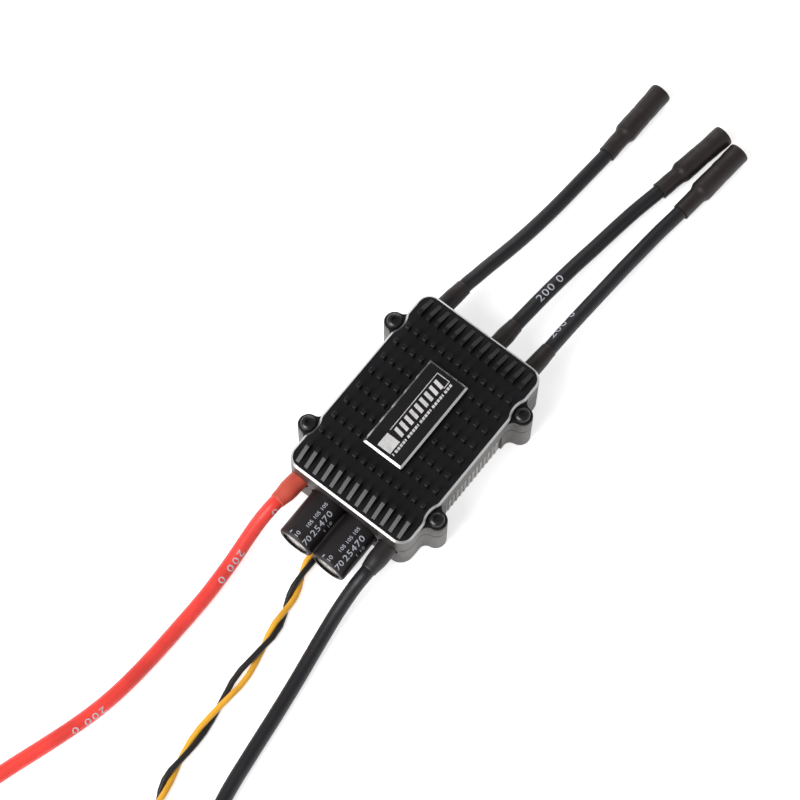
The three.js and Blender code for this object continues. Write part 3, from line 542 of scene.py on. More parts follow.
def skin_into(mesh_data, rings, slot=0):
    """A closed skin through rings with the same number of vertices, and over both ends."""
    faces = []
    for low, high in zip(rings, rings[1:]):
        for i in range(len(low)):
            k = (i + 1) % len(low)
            faces.append(mesh_data.faces.new((low[i], low[k], high[k], high[i])))
    faces.append(mesh_data.faces.new(rings[0][::-1]))
    faces.append(mesh_data.faces.new(rings[-1]))
    for face in faces:
        face.material_index = slot


def loft_into(mesh_data, layers):
    """A closed solid through level outlines with the same number of points, each with its height."""
    skin_into(mesh_data, [[mesh_data.verts.new((x, y, z)) for x, y in outline] for outline, z in layers])


def stack(mesh_data, outline, layers):
    """A closed solid from an outline; a layer is a height and how far the outline is moved inwards there."""
    clean = [p for i, p in enumerate(outline) if (Vector(p) - Vector(outline[i - 1])).length > 1e-7]
    loft_into(mesh_data, [(inset(clean, offset) if offset else clean, z) for z, offset in layers])


def box_into(mesh_data, low, high, bevel=0.0, segments=2):
    """A box between two corners, with its edges rounded."""
    made = bmesh.ops.create_cube(mesh_data, size=1.0)
    middle = [(a + b) / 2 for a, b in zip(low, high)]
    size = [b - a for a, b in zip(low, high)]
    for vertex in made["verts"]:
        vertex.co = Vector([m + c * s for m, c, s in zip(middle, vertex.co, size)])
    if bevel:
        edges = {edge for vertex in made["verts"] for edge in vertex.link_edges}
        bmesh.ops.bevel(mesh_data, geom=list(edges), offset=bevel, segments=segments, affect="EDGES",
                        profile=0.5)


def turning(start, end):
    """The rotation and place that take +Z at the origin to the line from start towards end."""
    direction = (Vector(end) - Vector(start)).normalized()
    return Matrix.Translation(start) @ direction.to_track_quat("Z", "Y").to_matrix().to_4x4()


def lathe_into(mesh_data, profile, place, sides=48, lumps=0.0, lump_size=4 * MM, seed=0.0, closed=True):
    """Turns a profile of (radius, distance) points about a line; lumps are soft swellings of the surface."""
    rings = []
    for radius, distance in profile:
        if radius <= 1e-9:
            rings.append([mesh_data.verts.new(place @ Vector((0, 0, distance)))])
            continue
        ring = []
        for i in range(sides):
            angle = i / sides * TAU
            spot = Vector((math.cos(angle), math.sin(angle), 0)) * radius + Vector((0, 0, distance))
            swell = lumps * noise.noise(spot / lump_size + Vector((seed, 0, 0)))
            flat = Vector((spot.x, spot.y, 0)).normalized() * (radius + swell)
            ring.append(mesh_data.verts.new(place @ Vector((flat.x, flat.y, distance))))
        rings.append(ring)
    pairs = list(zip(rings, rings[1:])) + ([(rings[-1], rings[0])] if closed and len(rings[0]) > 1 else [])
    for low, high in pairs:
        for i in range(sides):
            k = (i + 1) % sides
            if len(low) == 1:
                mesh_data.faces.new((low[0], high[k], high[i]))
            elif len(high) == 1:
                mesh_data.faces.new((low[i], low[k], high[0]))
            else:
                mesh_data.faces.new((low[i], low[k], high[k], high[i]))


def frames_along(points):
    """An across and an up direction at each point, that turn as little as they can."""
    frames = []
    up = Vector((0, 0, 1))
    for i in range(len(points)):
        direction = (points[min(i + 1, len(points) - 1)] - points[max(i - 1, 0)]).normalized()
        across = direction.cross(up).normalized()
        frames.append((across, across.cross(direction).normalized()))
    return frames


def sweep_into(mesh_data, points, radius, sides=12, slot=0):
    """A round tube along the points, closed at both ends."""
    rings = []
    for point, (across, up) in zip(points, frames_along(points)):
        ring = []
        for i in range(sides):
            angle = i / sides * TAU
            offset = across * math.cos(angle) + up * math.sin(angle)
            ring.append(mesh_data.verts.new(point + offset * radius))
        rings.append(ring)
    skin_into(mesh_data, rings, slot)


def combine(piece, others, operation):
    """Joins other solids to a piece or takes them out of it, and removes them."""
    for other in others:
        modifier = piece.modifiers.new(operation.lower(), "BOOLEAN")
        modifier.operation = operation
        modifier.solver = "EXACT"
        modifier.object = other
    settle(piece)
    for other in others:
        bpy.data.objects.remove(other)


def cut(piece, cutters):
    combine(piece, cutters, "DIFFERENCE")


def evaluated_mesh(piece):
    depsgraph = bpy.context.evaluated_depsgraph_get()
    return bpy.data.meshes.new_from_object(piece.evaluated_get(depsgraph))


def settle(piece):
    """Turns a piece's modifiers into its own mesh."""
    mesh = evaluated_mesh(piece)
    piece.modifiers.clear()
    piece.data = mesh


def cutter_from(mesh_data):
    return new_piece("cutter", mesh_data, [])


def box_cutter(low, high):
    mesh_data = bmesh.new()
    box_into(mesh_data, low, high)
    return cutter_from(mesh_data)


def bar_into(mesh_data, place, length, radius, sides):
    """A round bar that starts at the place and runs along its Z."""
    profile = [(0, 0), (radius, 0), (radius, length), (0, length)]
    lathe_into(mesh_data, profile, place, sides, closed=False)


def round_cutter(place, length, radius, sides):
    mesh_data = bmesh.new()
    bar_into(mesh_data, place, length, radius, sides)
    return cutter_from(mesh_data)


def keep(piece, slot_name, *replaced):
    """A finished piece rides on the one body and stands for its CAD nodes; its slot name is not used."""
    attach(piece, "root")
    if replaced:
        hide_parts(*replaced)
    return piece


# ---------------------------------------------------------------- geometry nodes


def field_tree():
    """Copies of a template on a grid, left out under the label, and turned round on the -X side."""
    tree = bpy.data.node_groups.get("field_of_copies")
    if tree:
        return tree
    tree = bpy.data.node_groups.new("field_of_copies", "GeometryNodeTree")
    kinds = {"Template": "Object", "Finish": "Material", "Columns": "Int", "Rows": "Int",
             "Field Length": "Float", "Field Width": "Float", "Label Length": "Float", "Label Width": "Float"}
    for name, kind in kinds.items():
        tree.interface.new_socket(name, in_out="INPUT", socket_type=f"NodeSocket{kind}")
    tree.interface.new_socket("Geometry", in_out="OUTPUT", socket_type="NodeSocketGeometry")

    def node(kind, inputs, output, **settings):
        return add_node(tree, kind, inputs, **settings).outputs[output]

    given = add_node(tree, "NodeGroupInput", {}).outputs
    grid = node("GeometryNodeMeshGrid", {
        "Size X": given["Field Length"], "Size Y": given["Field Width"],
        "Vertices X": given["Columns"], "Vertices Y": given["Rows"],
    }, "Mesh")
    position = node("GeometryNodeInputPosition", {}, "Position")
    parts = add_node(tree, "ShaderNodeSeparateXYZ", {"Vector": position}).outputs

    def less(low, high):
        return node("FunctionNodeCompare", {"A": low, "B": high}, "Result", data_type="FLOAT",
                    operation="LESS_THAN")

    def inside(axis, size):
        distance = node("ShaderNodeMath", {0: parts[axis]}, 0, operation="ABSOLUTE")
        return less(node("ShaderNodeMath", {0: distance, 1: 2.0}, 0, operation="MULTIPLY"), given[size])

    under_label = node("FunctionNodeBooleanMath", {
        0: inside("X", "Label Length"), 1: inside("Y", "Label Width"),
    }, 0, operation="AND")
    places = node("GeometryNodeDeleteGeometry", {"Geometry": grid, "Selection": under_label}, "Geometry",
                  domain="POINT")
    half_turn = {0: less(parts["X"], 0.0), 1: math.pi}
    angle = node("ShaderNodeMath", half_turn, 0, operation="MULTIPLY")
    rotation = node("ShaderNodeCombineXYZ", {"Z": angle}, "Vector")
    template = node("GeometryNodeObjectInfo", {"Object": given["Template"], "As Instance": True}, "Geometry")
    copies = node("GeometryNodeInstanceOnPoints", {
        "Points": places, "Instance": template, "Rotation": rotation,
    }, "Instances")
    real = node("GeometryNodeRealizeInstances", {"Geometry": copies}, "Geometry")
    painted = node("GeometryNodeSetMaterial", {"Geometry": real, "Material": given["Finish"]}, "Geometry")
    add_node(tree, "NodeGroupOutput", {"Geometry": painted})
    return tree


def field_piece(name, template, finish, **sizes):
    """A piece made of copies of a template; the template is then removed."""
    tree = field_tree()
    piece = new_object(name, bpy.data.meshes.new(name))
    modifier = piece.modifiers.new("copies", "NODES")
    modifier.node_group = tree
    values = {"Template": template, "Finish": finish_of(finish), "Columns": 1, "Rows": 1, "Field Length": 0.0,
              "Field Width": 0.0, "Label Length": 0.0, "Label Width": 0.0, **sizes}
    for item in tree.interface.items_tree:
        if item.in_out == "INPUT":
            modifier[item.identifier] = values[item.name]
    settle(piece)
    bpy.data.objects.remove(template)
    return piece


# ---------------------------------------------------------------- stage


def image_axes(azimuth, elevation, roll):
    """The camera's right, up and back directions."""
    back = Vector((math.sin(azimuth) * math.cos(elevation), -math.cos(azimuth) * math.cos(elevation),
                   math.sin(elevation)))
    level = Vector((math.cos(azimuth), math.sin(azimuth), 0))
    over = back.cross(level)
    right = level * math.cos(roll) + over * math.sin(roll)
    return right, back.cross(right), back


class OBJECT_OT_controller_stage(bpy.types.Operator):
    """Sets the camera, the soft lights and the pale floor"""

    bl_idname = "object.controller_stage"
    bl_label = "Stage"

    azimuth = math.radians(-53.94)
    elevation = math.radians(71.21)
    roll = math.radians(2.123)
    distance = 0.780
    lens = {"lens": 139.96, "sensor_width": 36, "shift_x": -0.0195, "shift_y": 0.0218, "clip_start": 0.01,
            "clip_end": 20}

    # Each softbox's place, side and power; all of them face the origin
    softboxes = {
        "front_softbox": ((-0.75, 0.22, 0.78), 0.7, 12.0),
        "low_front_softbox": ((-1.15, 0.24, 0.33), 0.6, 1.9),
        "side_softbox": ((0.25, -0.95, 0.42), 0.8, 0.5),
        "far_softbox": ((0.9, 0.55, 0.5), 0.7, 2.5),
    }

    # The floor lies just under the object, and glows more to the camera than in the object's reflections
    floor_half, floor_drop = 3.0, 0.00005
    glow_in_reflections, glow_in_view = 0.3, 0.62

    def execute(self, context):
        self.add_camera(context)
        for name, (place, side, power) in self.softboxes.items():
            self.add_softbox(name, place, side, power)
        self.add_sky(context)
        self.add_floor()
        return {"FINISHED"}

    def add_camera(self, context):
        target = Vector((0, 0, context.scene.controller_case.rim_height))
        right, up, back = image_axes(self.azimuth, self.elevation, self.roll)
        data = bpy.data.cameras.new("camera")
        for name, value in self.lens.items():
            setattr(data, name, value)
        camera = new_object("camera", data)
        camera.matrix_world = Matrix((right, up, back)).transposed().to_4x4()
        camera.location = target + back * self.distance
        context.scene.camera = camera

    def add_softbox(self, name, place, side, power):
        data = bpy.data.lights.new(name, "AREA")
        data.shape = "SQUARE"
        data.size = side
        data.energy = power
        light = new_object(name, data)
        light.location = place
        light.rotation_mode = "QUATERNION"
        light.rotation_quaternion = Vector(place).to_track_quat("Z", "Y")

    def add_sky(self, context):
        """A plain studio surround: bright low down, and darker overhead."""
        world = bpy.data.worlds.new("studio")
        world.use_nodes = True
        tree = world.node_tree
        direction = add_node(tree, "ShaderNodeTexCoord", {}).outputs["Generated"]
        height = add_node(tree, "ShaderNodeSeparateXYZ", {"Vector": direction}).outputs["Z"]
        fade = ramp(tree, height, (0.68, 0.68, 0.68), (0.24, 0.24, 0.25), 0.0, 0.75)
        set_inputs(tree, tree.nodes["Background"], {"Color": fade, "Strength": 0.9})
        context.scene.world = world
        context.scene.view_settings.view_transform = "Standard"

    def add_floor(self):
        mesh_data = bmesh.new()
        corners = [(-1, -1), (1, -1), (1, 1), (-1, 1)]
        mesh_data.faces.new([mesh_data.verts.new((x * self.floor_half, y * self.floor_half, -self.floor_drop))
                             for x, y in corners])
        mesh = bpy.data.meshes.new("floor")
        mesh_data.to_mesh(mesh)
        mesh_data.free()
        material, tree, shader = new_material("pale_floor")
        rays = add_node(tree, "ShaderNodeLightPath", {}).outputs["Is Camera Ray"]
        set_inputs(tree, shader, {
            "Base Color": (0.93, 0.93, 0.93, 1), "Roughness": 0.9, "Specular IOR Level": 0.0,
            "Emission Color": (1, 1, 1, 1),
            "Emission Strength": varied_range(tree, rays, self.glow_in_reflections, self.glow_in_view),
        })
        mesh.materials.append(material)
        new_object("floor", mesh)


# ---------------------------------------------------------------- leads

# Between a lead and the heat shrink round it
BORE_CLEARANCE = 0.03 * MM


def lead_line(end, lead, past_end=()):
    """A lead's centreline, from inside its sleeve to the end of its route."""
    sleeve = placed(end, lead["exit_y"], lead["sleeve"])
    direction = (sleeve[1] - sleeve[0]).normalized()
    inside = sleeve[0] + (sleeve[1] - sleeve[0]) * 0.5
    points = [sleeve[0], inside, sleeve[1], sleeve[1] + direction * 1.5 * MM,
              *placed(end, lead["exit_y"], lead["route"]), *past_end]
    return smooth_route(points)


def curve_piece(name, points, radius, finish):
    """A round lead as one open curve."""
    curve = bpy.data.curves.new(name, "CURVE")
    curve.dimensions = "3D"
    curve.resolution_u = 6
    curve.bevel_depth = radius
    curve.bevel_resolution = 8
    curve.use_fill_caps = True
    spline = curve.splines.new("BEZIER")
    spline.bezier_points.add(len(points) - 1)
    for knot, point in zip(spline.bezier_points, points):
        knot.co = point
        knot.handle_left_type = "AUTO"
        knot.handle_right_type = "AUTO"
    curve.materials.append(finish_of(finish))
    return new_object(name, curve)


def exit_sleeve(name, ends, radius, lead_radius, finish, seed):
    """Heat shrink over a lead: full where it leaves the case, drawn in round the lead at its free end."""
    direction = (ends[1] - ends[0]).normalized()
    start = ends[0] + direction * bare_length(ends)
    length = (ends[1] - start).length
    bore = lead_radius + BORE_CLEARANCE
    tight = lead_radius + 0.2 * MM
    steps = 26
    profile = []
    for i in range(steps + 1):
        share = i / steps
        profile.append((radius + (tight - radius) * eased(share, 0.62, 1.0), share * length))
    profile += [(tight - 0.1 * MM, length + 0.1 * MM), (bore, length + 0.12 * MM), (bore, 0.0)]
    mesh_data = bmesh.new()
    lathe_into(mesh_data, profile, turning(start, ends[1]), lumps=0.12 * MM, lump_size=3.2 * MM, seed=seed)
    return new_piece(name, mesh_data, [finish], 50)


def bare_length(ends):
    """How much of a sleeve's line lies inside the case, up to where the heat shrink starts."""
    inside = HALF_LENGTH - bpy.context.scene.controller_case.wall - 0.8 * MM
    whole = abs(ends[1].x - ends[0].x)
    return (inside - abs(ends[0].x)) / whole * (ends[1] - ends[0]).length


def wrap_print(name, text, line, distance, radius, angle, size, spacing, widen):
    """Generic characters laid on a round lead, from a distance along its line and at an angle round it."""
    font = bpy.data.curves.new(name, "FONT")
    font.body = text
    font.size = size
    font.space_character = spacing
    font.align_y = "CENTER"
    font.resolution_u = 3
    font.extrude = 0.015 * MM
    flat = new_object(name, font)
    mesh = evaluated_mesh(flat)
    bpy.data.objects.remove(flat)
    mesh_data = bmesh.new()
    mesh_data.from_mesh(mesh)
    bpy.data.meshes.remove(mesh)
    bmesh.ops.remove_doubles(mesh_data, verts=mesh_data.verts, dist=0.001 * MM)
    for k in range(-6, 7):
        geometry = mesh_data.verts[:] + mesh_data.edges[:] + mesh_data.faces[:]
        bmesh.ops.bisect_plane(mesh_data, geom=geometry, plane_co=(0, k * size / 12, 0), plane_no=(0, 1, 0))
    skin = radius + 0.02 * MM
    for vertex in mesh_data.verts:
        x, y = vertex.co.x, vertex.co.y
        point, direction = along(line, distance + x * widen)
        across = direction.cross(Vector((0, 0, 1))).normalized()
        up = across.cross(direction)
        turn = angle - y / skin
        vertex.co = point + (across * math.sin(turn) + up * math.cos(turn)) * (skin + vertex.co.z)
    return new_piece(name, mesh_data, ["print"])


class OBJECT_OT_controller_motor_leads(bpy.types.Operator):
    """Builds the motor leads, their sleeves, and the bullet sockets under heat shrink"""

    bl_idname = "object.controller_motor_leads"
    bl_label = "Motor Leads"

    # For each printed lead, how far along it the figures start, and their angle round it from the top
    prints = {2: (22.6 * MM, 0.1), 3: (16.3 * MM, -0.85)}

    # A bullet socket's own sizes
    bullet_length, bullet_bore, bullet_bore_depth = 12.6 * MM, 1.75 * MM, 9.0 * MM

    def execute(self, context):
        sizes = context.scene.controller_leads
        for number, lead in enumerate(MOTOR_LEADS, 1):
            exit_y = lead["exit_y"]
            socket = placed(MOTOR_END, exit_y, lead["socket"])
            direction = (socket[1] - socket[0]).normalized()
            line = lead_line(MOTOR_END, lead, [socket[0] + direction * 4 * MM])
            cord = curve_piece(f"lead_motor_{number}", line, sizes.motor_radius, "black")
            keep(cord, "black_silicone", f"motor_lead_{number}")
            sleeve = exit_sleeve(f"sleeve_motor_{number}", placed(MOTOR_END, exit_y, lead["sleeve"]),
                                 sizes.motor_sleeve_radius, sizes.motor_radius, "brown_shrink", number * 7.3)
            keep(sleeve, "brown_shrink", f"motor_sleeve_{number}")
            shrink = self.socket_shrink(number, socket)
            bullet = self.bullet(number, socket)
            if number in self.prints:
                self.lead_print(number, line, sizes.motor_radius)
        return {"FINISHED"}

    def lead_print(self, number, line, radius):
        distance, angle = self.prints[number]
        piece = wrap_print(f"print_motor_{number}", "200 0", line, distance, radius, angle, 2.9 * MM, 1.12,
                           1.35)
        return keep(piece, "capacitor_film")

    def socket_shrink(self, number, socket):
        """Heat shrink over a socket: a neck on the lead, then full, with a faint waist and hollow."""
        sizes = bpy.context.scene.controller_leads
        length = (socket[1] - socket[0]).length
        full, neck = sizes.socket_radius, sizes.motor_radius + 0.42 * MM
        bore, inner = sizes.motor_radius + BORE_CLEARANCE, full - 0.25 * MM
        neck_end, full_start, steps = 6.3, 8.3, 46
        profile = [(bore, 0.1 * MM), (neck - 0.16 * MM, 0.0)]
        for i in range(steps + 1):
            distance = 0.1 * MM + i / steps * (length - 0.1 * MM)
            out = distance / MM
            share = min(1.0, max(0.0, (out - full_start) / (length / MM - full_start)))
            hollow = -0.12 * MM * math.sin(math.pi * share)
            waist = -0.07 * MM * math.exp(-((out - 15.2) / 0.5) ** 2)
            lip = 0.05 * MM * math.exp(-(out / 0.5) ** 2)
            swell = (full - neck) * eased(out, neck_end, full_start)
            profile.append((neck + swell + waist + hollow + lip, distance))
        profile[-1] = (full - 0.1 * MM, length)
        profile += [(inner + 0.05 * MM, length), (inner, length - 0.1 * MM), (inner, 9.2 * MM),
                    (bore, 6.0 * MM)]
        mesh_data = bmesh.new()
        lathe_into(mesh_data, profile, turning(*socket), lumps=0.1 * MM, lump_size=2.6 * MM,
                   seed=number * 3.1)
        piece = new_piece(f"shrink_socket_{number}", mesh_data, ["brown_shrink"], 50)
        return keep(piece, "brown_shrink", f"socket_shrink_{number}")

    def bullet(self, number, socket):
        """A plated socket with a groove round it, and a bore with a lead-in."""
        outer = bpy.context.scene.controller_leads.socket_radius - 0.35 * MM
        groove, bore = outer - 0.22 * MM, self.bullet_bore
        end = (socket[1] - socket[0]).length - 0.45 * MM
        start = end - self.bullet_length
        profile = [
            (0, start), (outer - 0.3 * MM, start), (outer, start + 0.3 * MM), (outer, start + 2.6 * MM),
            (groove, start + 2.8 * MM), (groove, start + 3.3 * MM), (outer, start + 3.5 * MM),
            (outer, end - 0.2 * MM), (outer - 0.2 * MM, end), (bore + 0.25 * MM, end), (bore, end - 0.3 * MM),
            (bore, end - self.bullet_bore_depth), (0, end - self.bullet_bore_depth - 0.4 * MM),
        ]
        mesh_data = bmesh.new()
        lathe_into(mesh_data, profile, turning(*socket), closed=False)
        piece = new_piece(f"bullet_{number}", mesh_data, ["gold"], 40)
        return keep(piece, "gold_plate", f"bullet_socket_{number}")


class OBJECT_OT_controller_power_leads(bpy.types.Operator):
    """Builds the red and black power leads, their sleeves and their tinned ends"""

    bl_idname = "object.controller_power_leads"
    bl_label = "Power Leads"

    # The red lead's figures: each text, how far along the lead it starts, and its angle from the top
    prints = [("0", 19.6 * MM, -1.1), ("200 0", 33.4 * MM, -0.55), ("200 0", 85.5 * MM, -0.8)]

    def execute(self, context):
        sizes = context.scene.controller_leads
        for k, lead in enumerate(POWER_LEADS):
            name, exit_y = lead["name"], lead["exit_y"]
            line = lead_line(POWER_END, lead)
            cord = curve_piece(f"lead_{name}", line, sizes.power_radius, name)
            keep(cord, f"{name}_silicone", f"power_lead_{name}")
            sleeve = exit_sleeve(f"sleeve_{name}", placed(POWER_END, exit_y, lead["sleeve"]),
                                 sizes.power_sleeve_radius, sizes.power_radius, f"{name}_shrink", 31.7 + k)
            keep(sleeve, f"{name}_shrink", f"power_sleeve_{name}")
            with_pieces = [sleeve, self.stranded_end(name, line)]
            if name == "red":
                with_pieces += self.red_prints(line, sizes.power_radius)
        return {"FINISHED"}

    def red_prints(self, line, radius):
        made = []
        for i, (text, distance, angle) in enumerate(self.prints, 1):
            piece = wrap_print(f"print_red_{i}", text, line, distance, radius, angle, 2.7 * MM, 1.2, 1.4)
            made.append(keep(piece, "capacitor_film"))
        return made

    def stranded_end(self, name, line):
        """Tinned strands, twisted together, narrowed a little at the tip."""
        start = line[-1]
        direction = (line[-1] - line[-2]).normalized()
        length, full_radius, twist = 5.0 * MM, 1.4 * MM, 1.4
        place = turning(start - direction * 0.3 * MM, start + direction)
        mesh_data = bmesh.new()
        sides, steps, lobes = 72, 22, 12
        rings = []
        for step in range(steps + 1):
            share = step / steps
            radius = full_radius * (1 - 0.25 * max(0.0, share - 0.9) / 0.1)
            ring = []
            for i in range(sides):
                angle = i / sides * TAU
                reach = radius * (1 - 0.07 * (1 - abs(math.cos(lobes / 2 * angle))))
                turn = angle + share * twist
                spot = Vector((math.cos(turn) * reach, math.sin(turn) * reach, share * length))
                ring.append(mesh_data.verts.new(place @ spot))
            rings.append(ring)
        skin_into(mesh_data, rings)
        piece = new_piece(f"strands_{name}", mesh_data, ["tin"], 50)
        return keep(piece, "tinned_wire", f"tinned_end_{name}")


class OBJECT_OT_controller_signal_lead(bpy.types.Operator):
    """Builds the twisted signal pair with its coil, and the servo plug on its end"""

    bl_idname = "object.controller_signal_lead"
    bl_label = "Signal Lead"

    # Distances along the pair, in millimetres, where the orange strand has made each half turn more; it
    # starts at the left and passes under first
    half_turn_places = [0.0, 14.0, 25.4, 35.3, 46.1, 65.9, 82.0]
    first_half_turn = -1.5

    # Between the plug's three ways
    way_pitch = 2.54 * MM * 0.98

    def execute(self, context):
        sizes = context.scene.controller_leads
        pair = 2 * sizes.strand_radius
        line = self.centreline(pair)
        mesh_data = bmesh.new()
        frames = frames_along(line)
        distances = [0.0]
        for before, after in zip(line, line[1:]):
            distances.append(distances[-1] + (after - before).length)
        for strand in (0, 1):
            points = []
            for point, distance, (across, up) in zip(line, distances, frames):
                angle = strand * math.pi - self.half_turns(distance) * math.pi
                offset = across * math.cos(angle) + up * math.sin(angle)
                points.append(point + offset * sizes.strand_radius * self.parting(distance))
            sweep_into(mesh_data, points, sizes.strand_radius, 10, strand)
        cord = new_piece("signal_pair", mesh_data, ["orange", "black_strand"], 50)
        keep(cord, "signal_insulation", "signal_lead", "signal_coil", "signal_tail")
        plug = self.plug()
        return {"FINISHED"}

    def half_turns(self, distance):
        """Half turns made up to a distance."""
        pitch = bpy.context.scene.controller_leads.twist_pitch / 2
        places = [place * MM for place in self.half_turn_places]
        if distance >= places[-1]:
            return self.first_half_turn + len(places) - 1 + (distance - places[-1]) / pitch
        for i in range(len(places) - 1):
            if distance < places[i + 1]:
                return self.first_half_turn + i + (distance - places[i]) / (places[i + 1] - places[i])

    def parting(self, distance):
        """The strands bow apart a little on the loosest stretch."""
        start, end = (place * MM for place in self.half_turn_places[4:6])
        share = (distance - start) / (end - start)
        return 1 + 0.55 * math.sin(math.pi * share) ** 2 if 0 < share < 1 else 1.0

    def centreline(self, pair):
        """Out of the case, twice round the coil, and on to the plug."""
        low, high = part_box("signal_coil")
        centre = (low + high) / 2
        middle = (high.x - low.x) / 2 - 2 * pair
        tail = placed(POWER_END, 0, SIGNAL_TAIL)
        start, end = math.radians(-50), math.radians(-180 - 720)
        count = round((start - end) / TAU * 16)
        turns = []
        for i in range(count + 1):
            angle = start + (end - start) * i / count
            turn = (start - angle) / TAU
            inward, back_out = eased(turn, 0.8, 1.0), eased(turn, 1.8, 2.0)
            radius = middle + pair * (1 - 2 * inward + back_out)
            height = low.z + pair + 1.75 * pair * back_out
            x, y = centre.x + radius * math.cos(angle), centre.y + radius * math.sin(angle)
            turns.append(Vector((x, y, height)))
        drop = [Vector((tail[0].x, centre.y + 6 * MM, low.z + 2.4 * pair))]
        return smooth_route([*placed(POWER_END, 0, SIGNAL_ROUTE), *turns, *drop, *tail], 3)

    def plug(self):
        """A three-way servo plug with its sockets, grip ridges and stepped sides."""
        low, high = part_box("signal_plug")
        middle = (low + high) / 2
        grip, step = (high.x - low.x) * 0.34, 0.4 * MM
        waist = low.y + (high.y - low.y) * 0.55
        mesh_data = bmesh.new()
        box_into(mesh_data, low, (high.x, waist, high.z), 0.25 * MM)
        box_into(mesh_data, (low.x + step, waist - 0.3 * MM, low.z), (high.x - step, high.y, high.z),
                 0.2 * MM)
        for i in range(4):
            y = low.y + (1.6 + 1.3 * i) * MM
            box_into(mesh_data, (middle.x - grip, y, high.z - 0.1 * MM),
                     (middle.x + grip, y + 0.55 * MM, high.z + 0.12 * MM), 0.06 * MM)
        piece = new_piece("servo_plug", mesh_data, ["plug", "gold"], 40)
        half, depth = 0.5 * MM, 6 * MM
        holes = []
        for way in (-1, 0, 1):
            x = middle.x + way * self.way_pitch
            holes.append(box_cutter((x - half, high.y - depth, middle.z - half),
                                    (x + half, high.y + MM, middle.z + half)))
        cut(piece, holes)
        smooth(piece.data, 40)
        return keep(piece, "plug_plastic", "signal_plug")


# ---------------------------------------------------------------- case


def end_openings():
    """Cutters for everything that leaves through the end walls."""
    case, leads = bpy.context.scene.controller_case, bpy.context.scene.controller_leads
    inner, outer = HALF_LENGTH - case.wall - MM, HALF_LENGTH + MM
    reach = CAPACITOR_RADIUS + OPENING_CLEARANCE
    cans = [sum(corner.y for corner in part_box(f"capacitor_sleeve_{i}")) / 2 for i in (1, 2)]
    power = leads.power_sleeve_radius + OPENING_CLEARANCE
    motor = leads.motor_sleeve_radius + OPENING_CLEARANCE
    holes = [(POWER_END, y, CAPACITOR_HEIGHT, reach) for y in cans]
    holes += [(POWER_END, lead["exit_y"] * MM, POWER_OPENING_HEIGHT, power) for lead in POWER_LEADS]
    holes += [(MOTOR_END, lead["exit_y"] * MM, MOTOR_OPENING_HEIGHT, motor) for lead in MOTOR_LEADS]
    cutters = [round_cutter(turning((end * inner, y, z), (end * outer, y, z)), outer - inner, radius, 40)
               for end, y, z, radius in holes]
    bridge = box_cutter((-outer, min(cans), CAPACITOR_HEIGHT - reach),
                        (-inner, max(cans), CAPACITOR_HEIGHT + reach))
    return [*cutters, bridge]


def cavity(low, high):
    case = bpy.context.scene.controller_case
    outline = rounded_rectangle(HALF_LENGTH - case.wall, case.half_width - case.wall, 2 * MM)
    mesh_data = bmesh.new()
    stack(mesh_data, outline, [(low, 0), (high, 0)])
    return cutter_from(mesh_data)


def ear_holes(low, high):
    places = [Matrix.Translation((sx * EAR_X, sy * EAR_Y, low)) for sx, sy in CORNERS]
    return [round_cutter(place, high - low, 1.25 * MM, 24) for place in places]


def paint_by_direction(mesh, rim):
    """Faces that look up are black, the rim's slope is bright and the walls are bare."""
    black, bright, bare = 0, 1, 2
    for face in mesh.polygons:
        if face.normal.z > 0.93:
            face.material_index = black
        elif face.normal.z > 0.35 and face.center.z > rim:
            face.material_index = bright
        else:
            face.material_index = bare

# How far the fins and the label plateau reach down into the cover
FIN_ROOT = 0.5 * MM


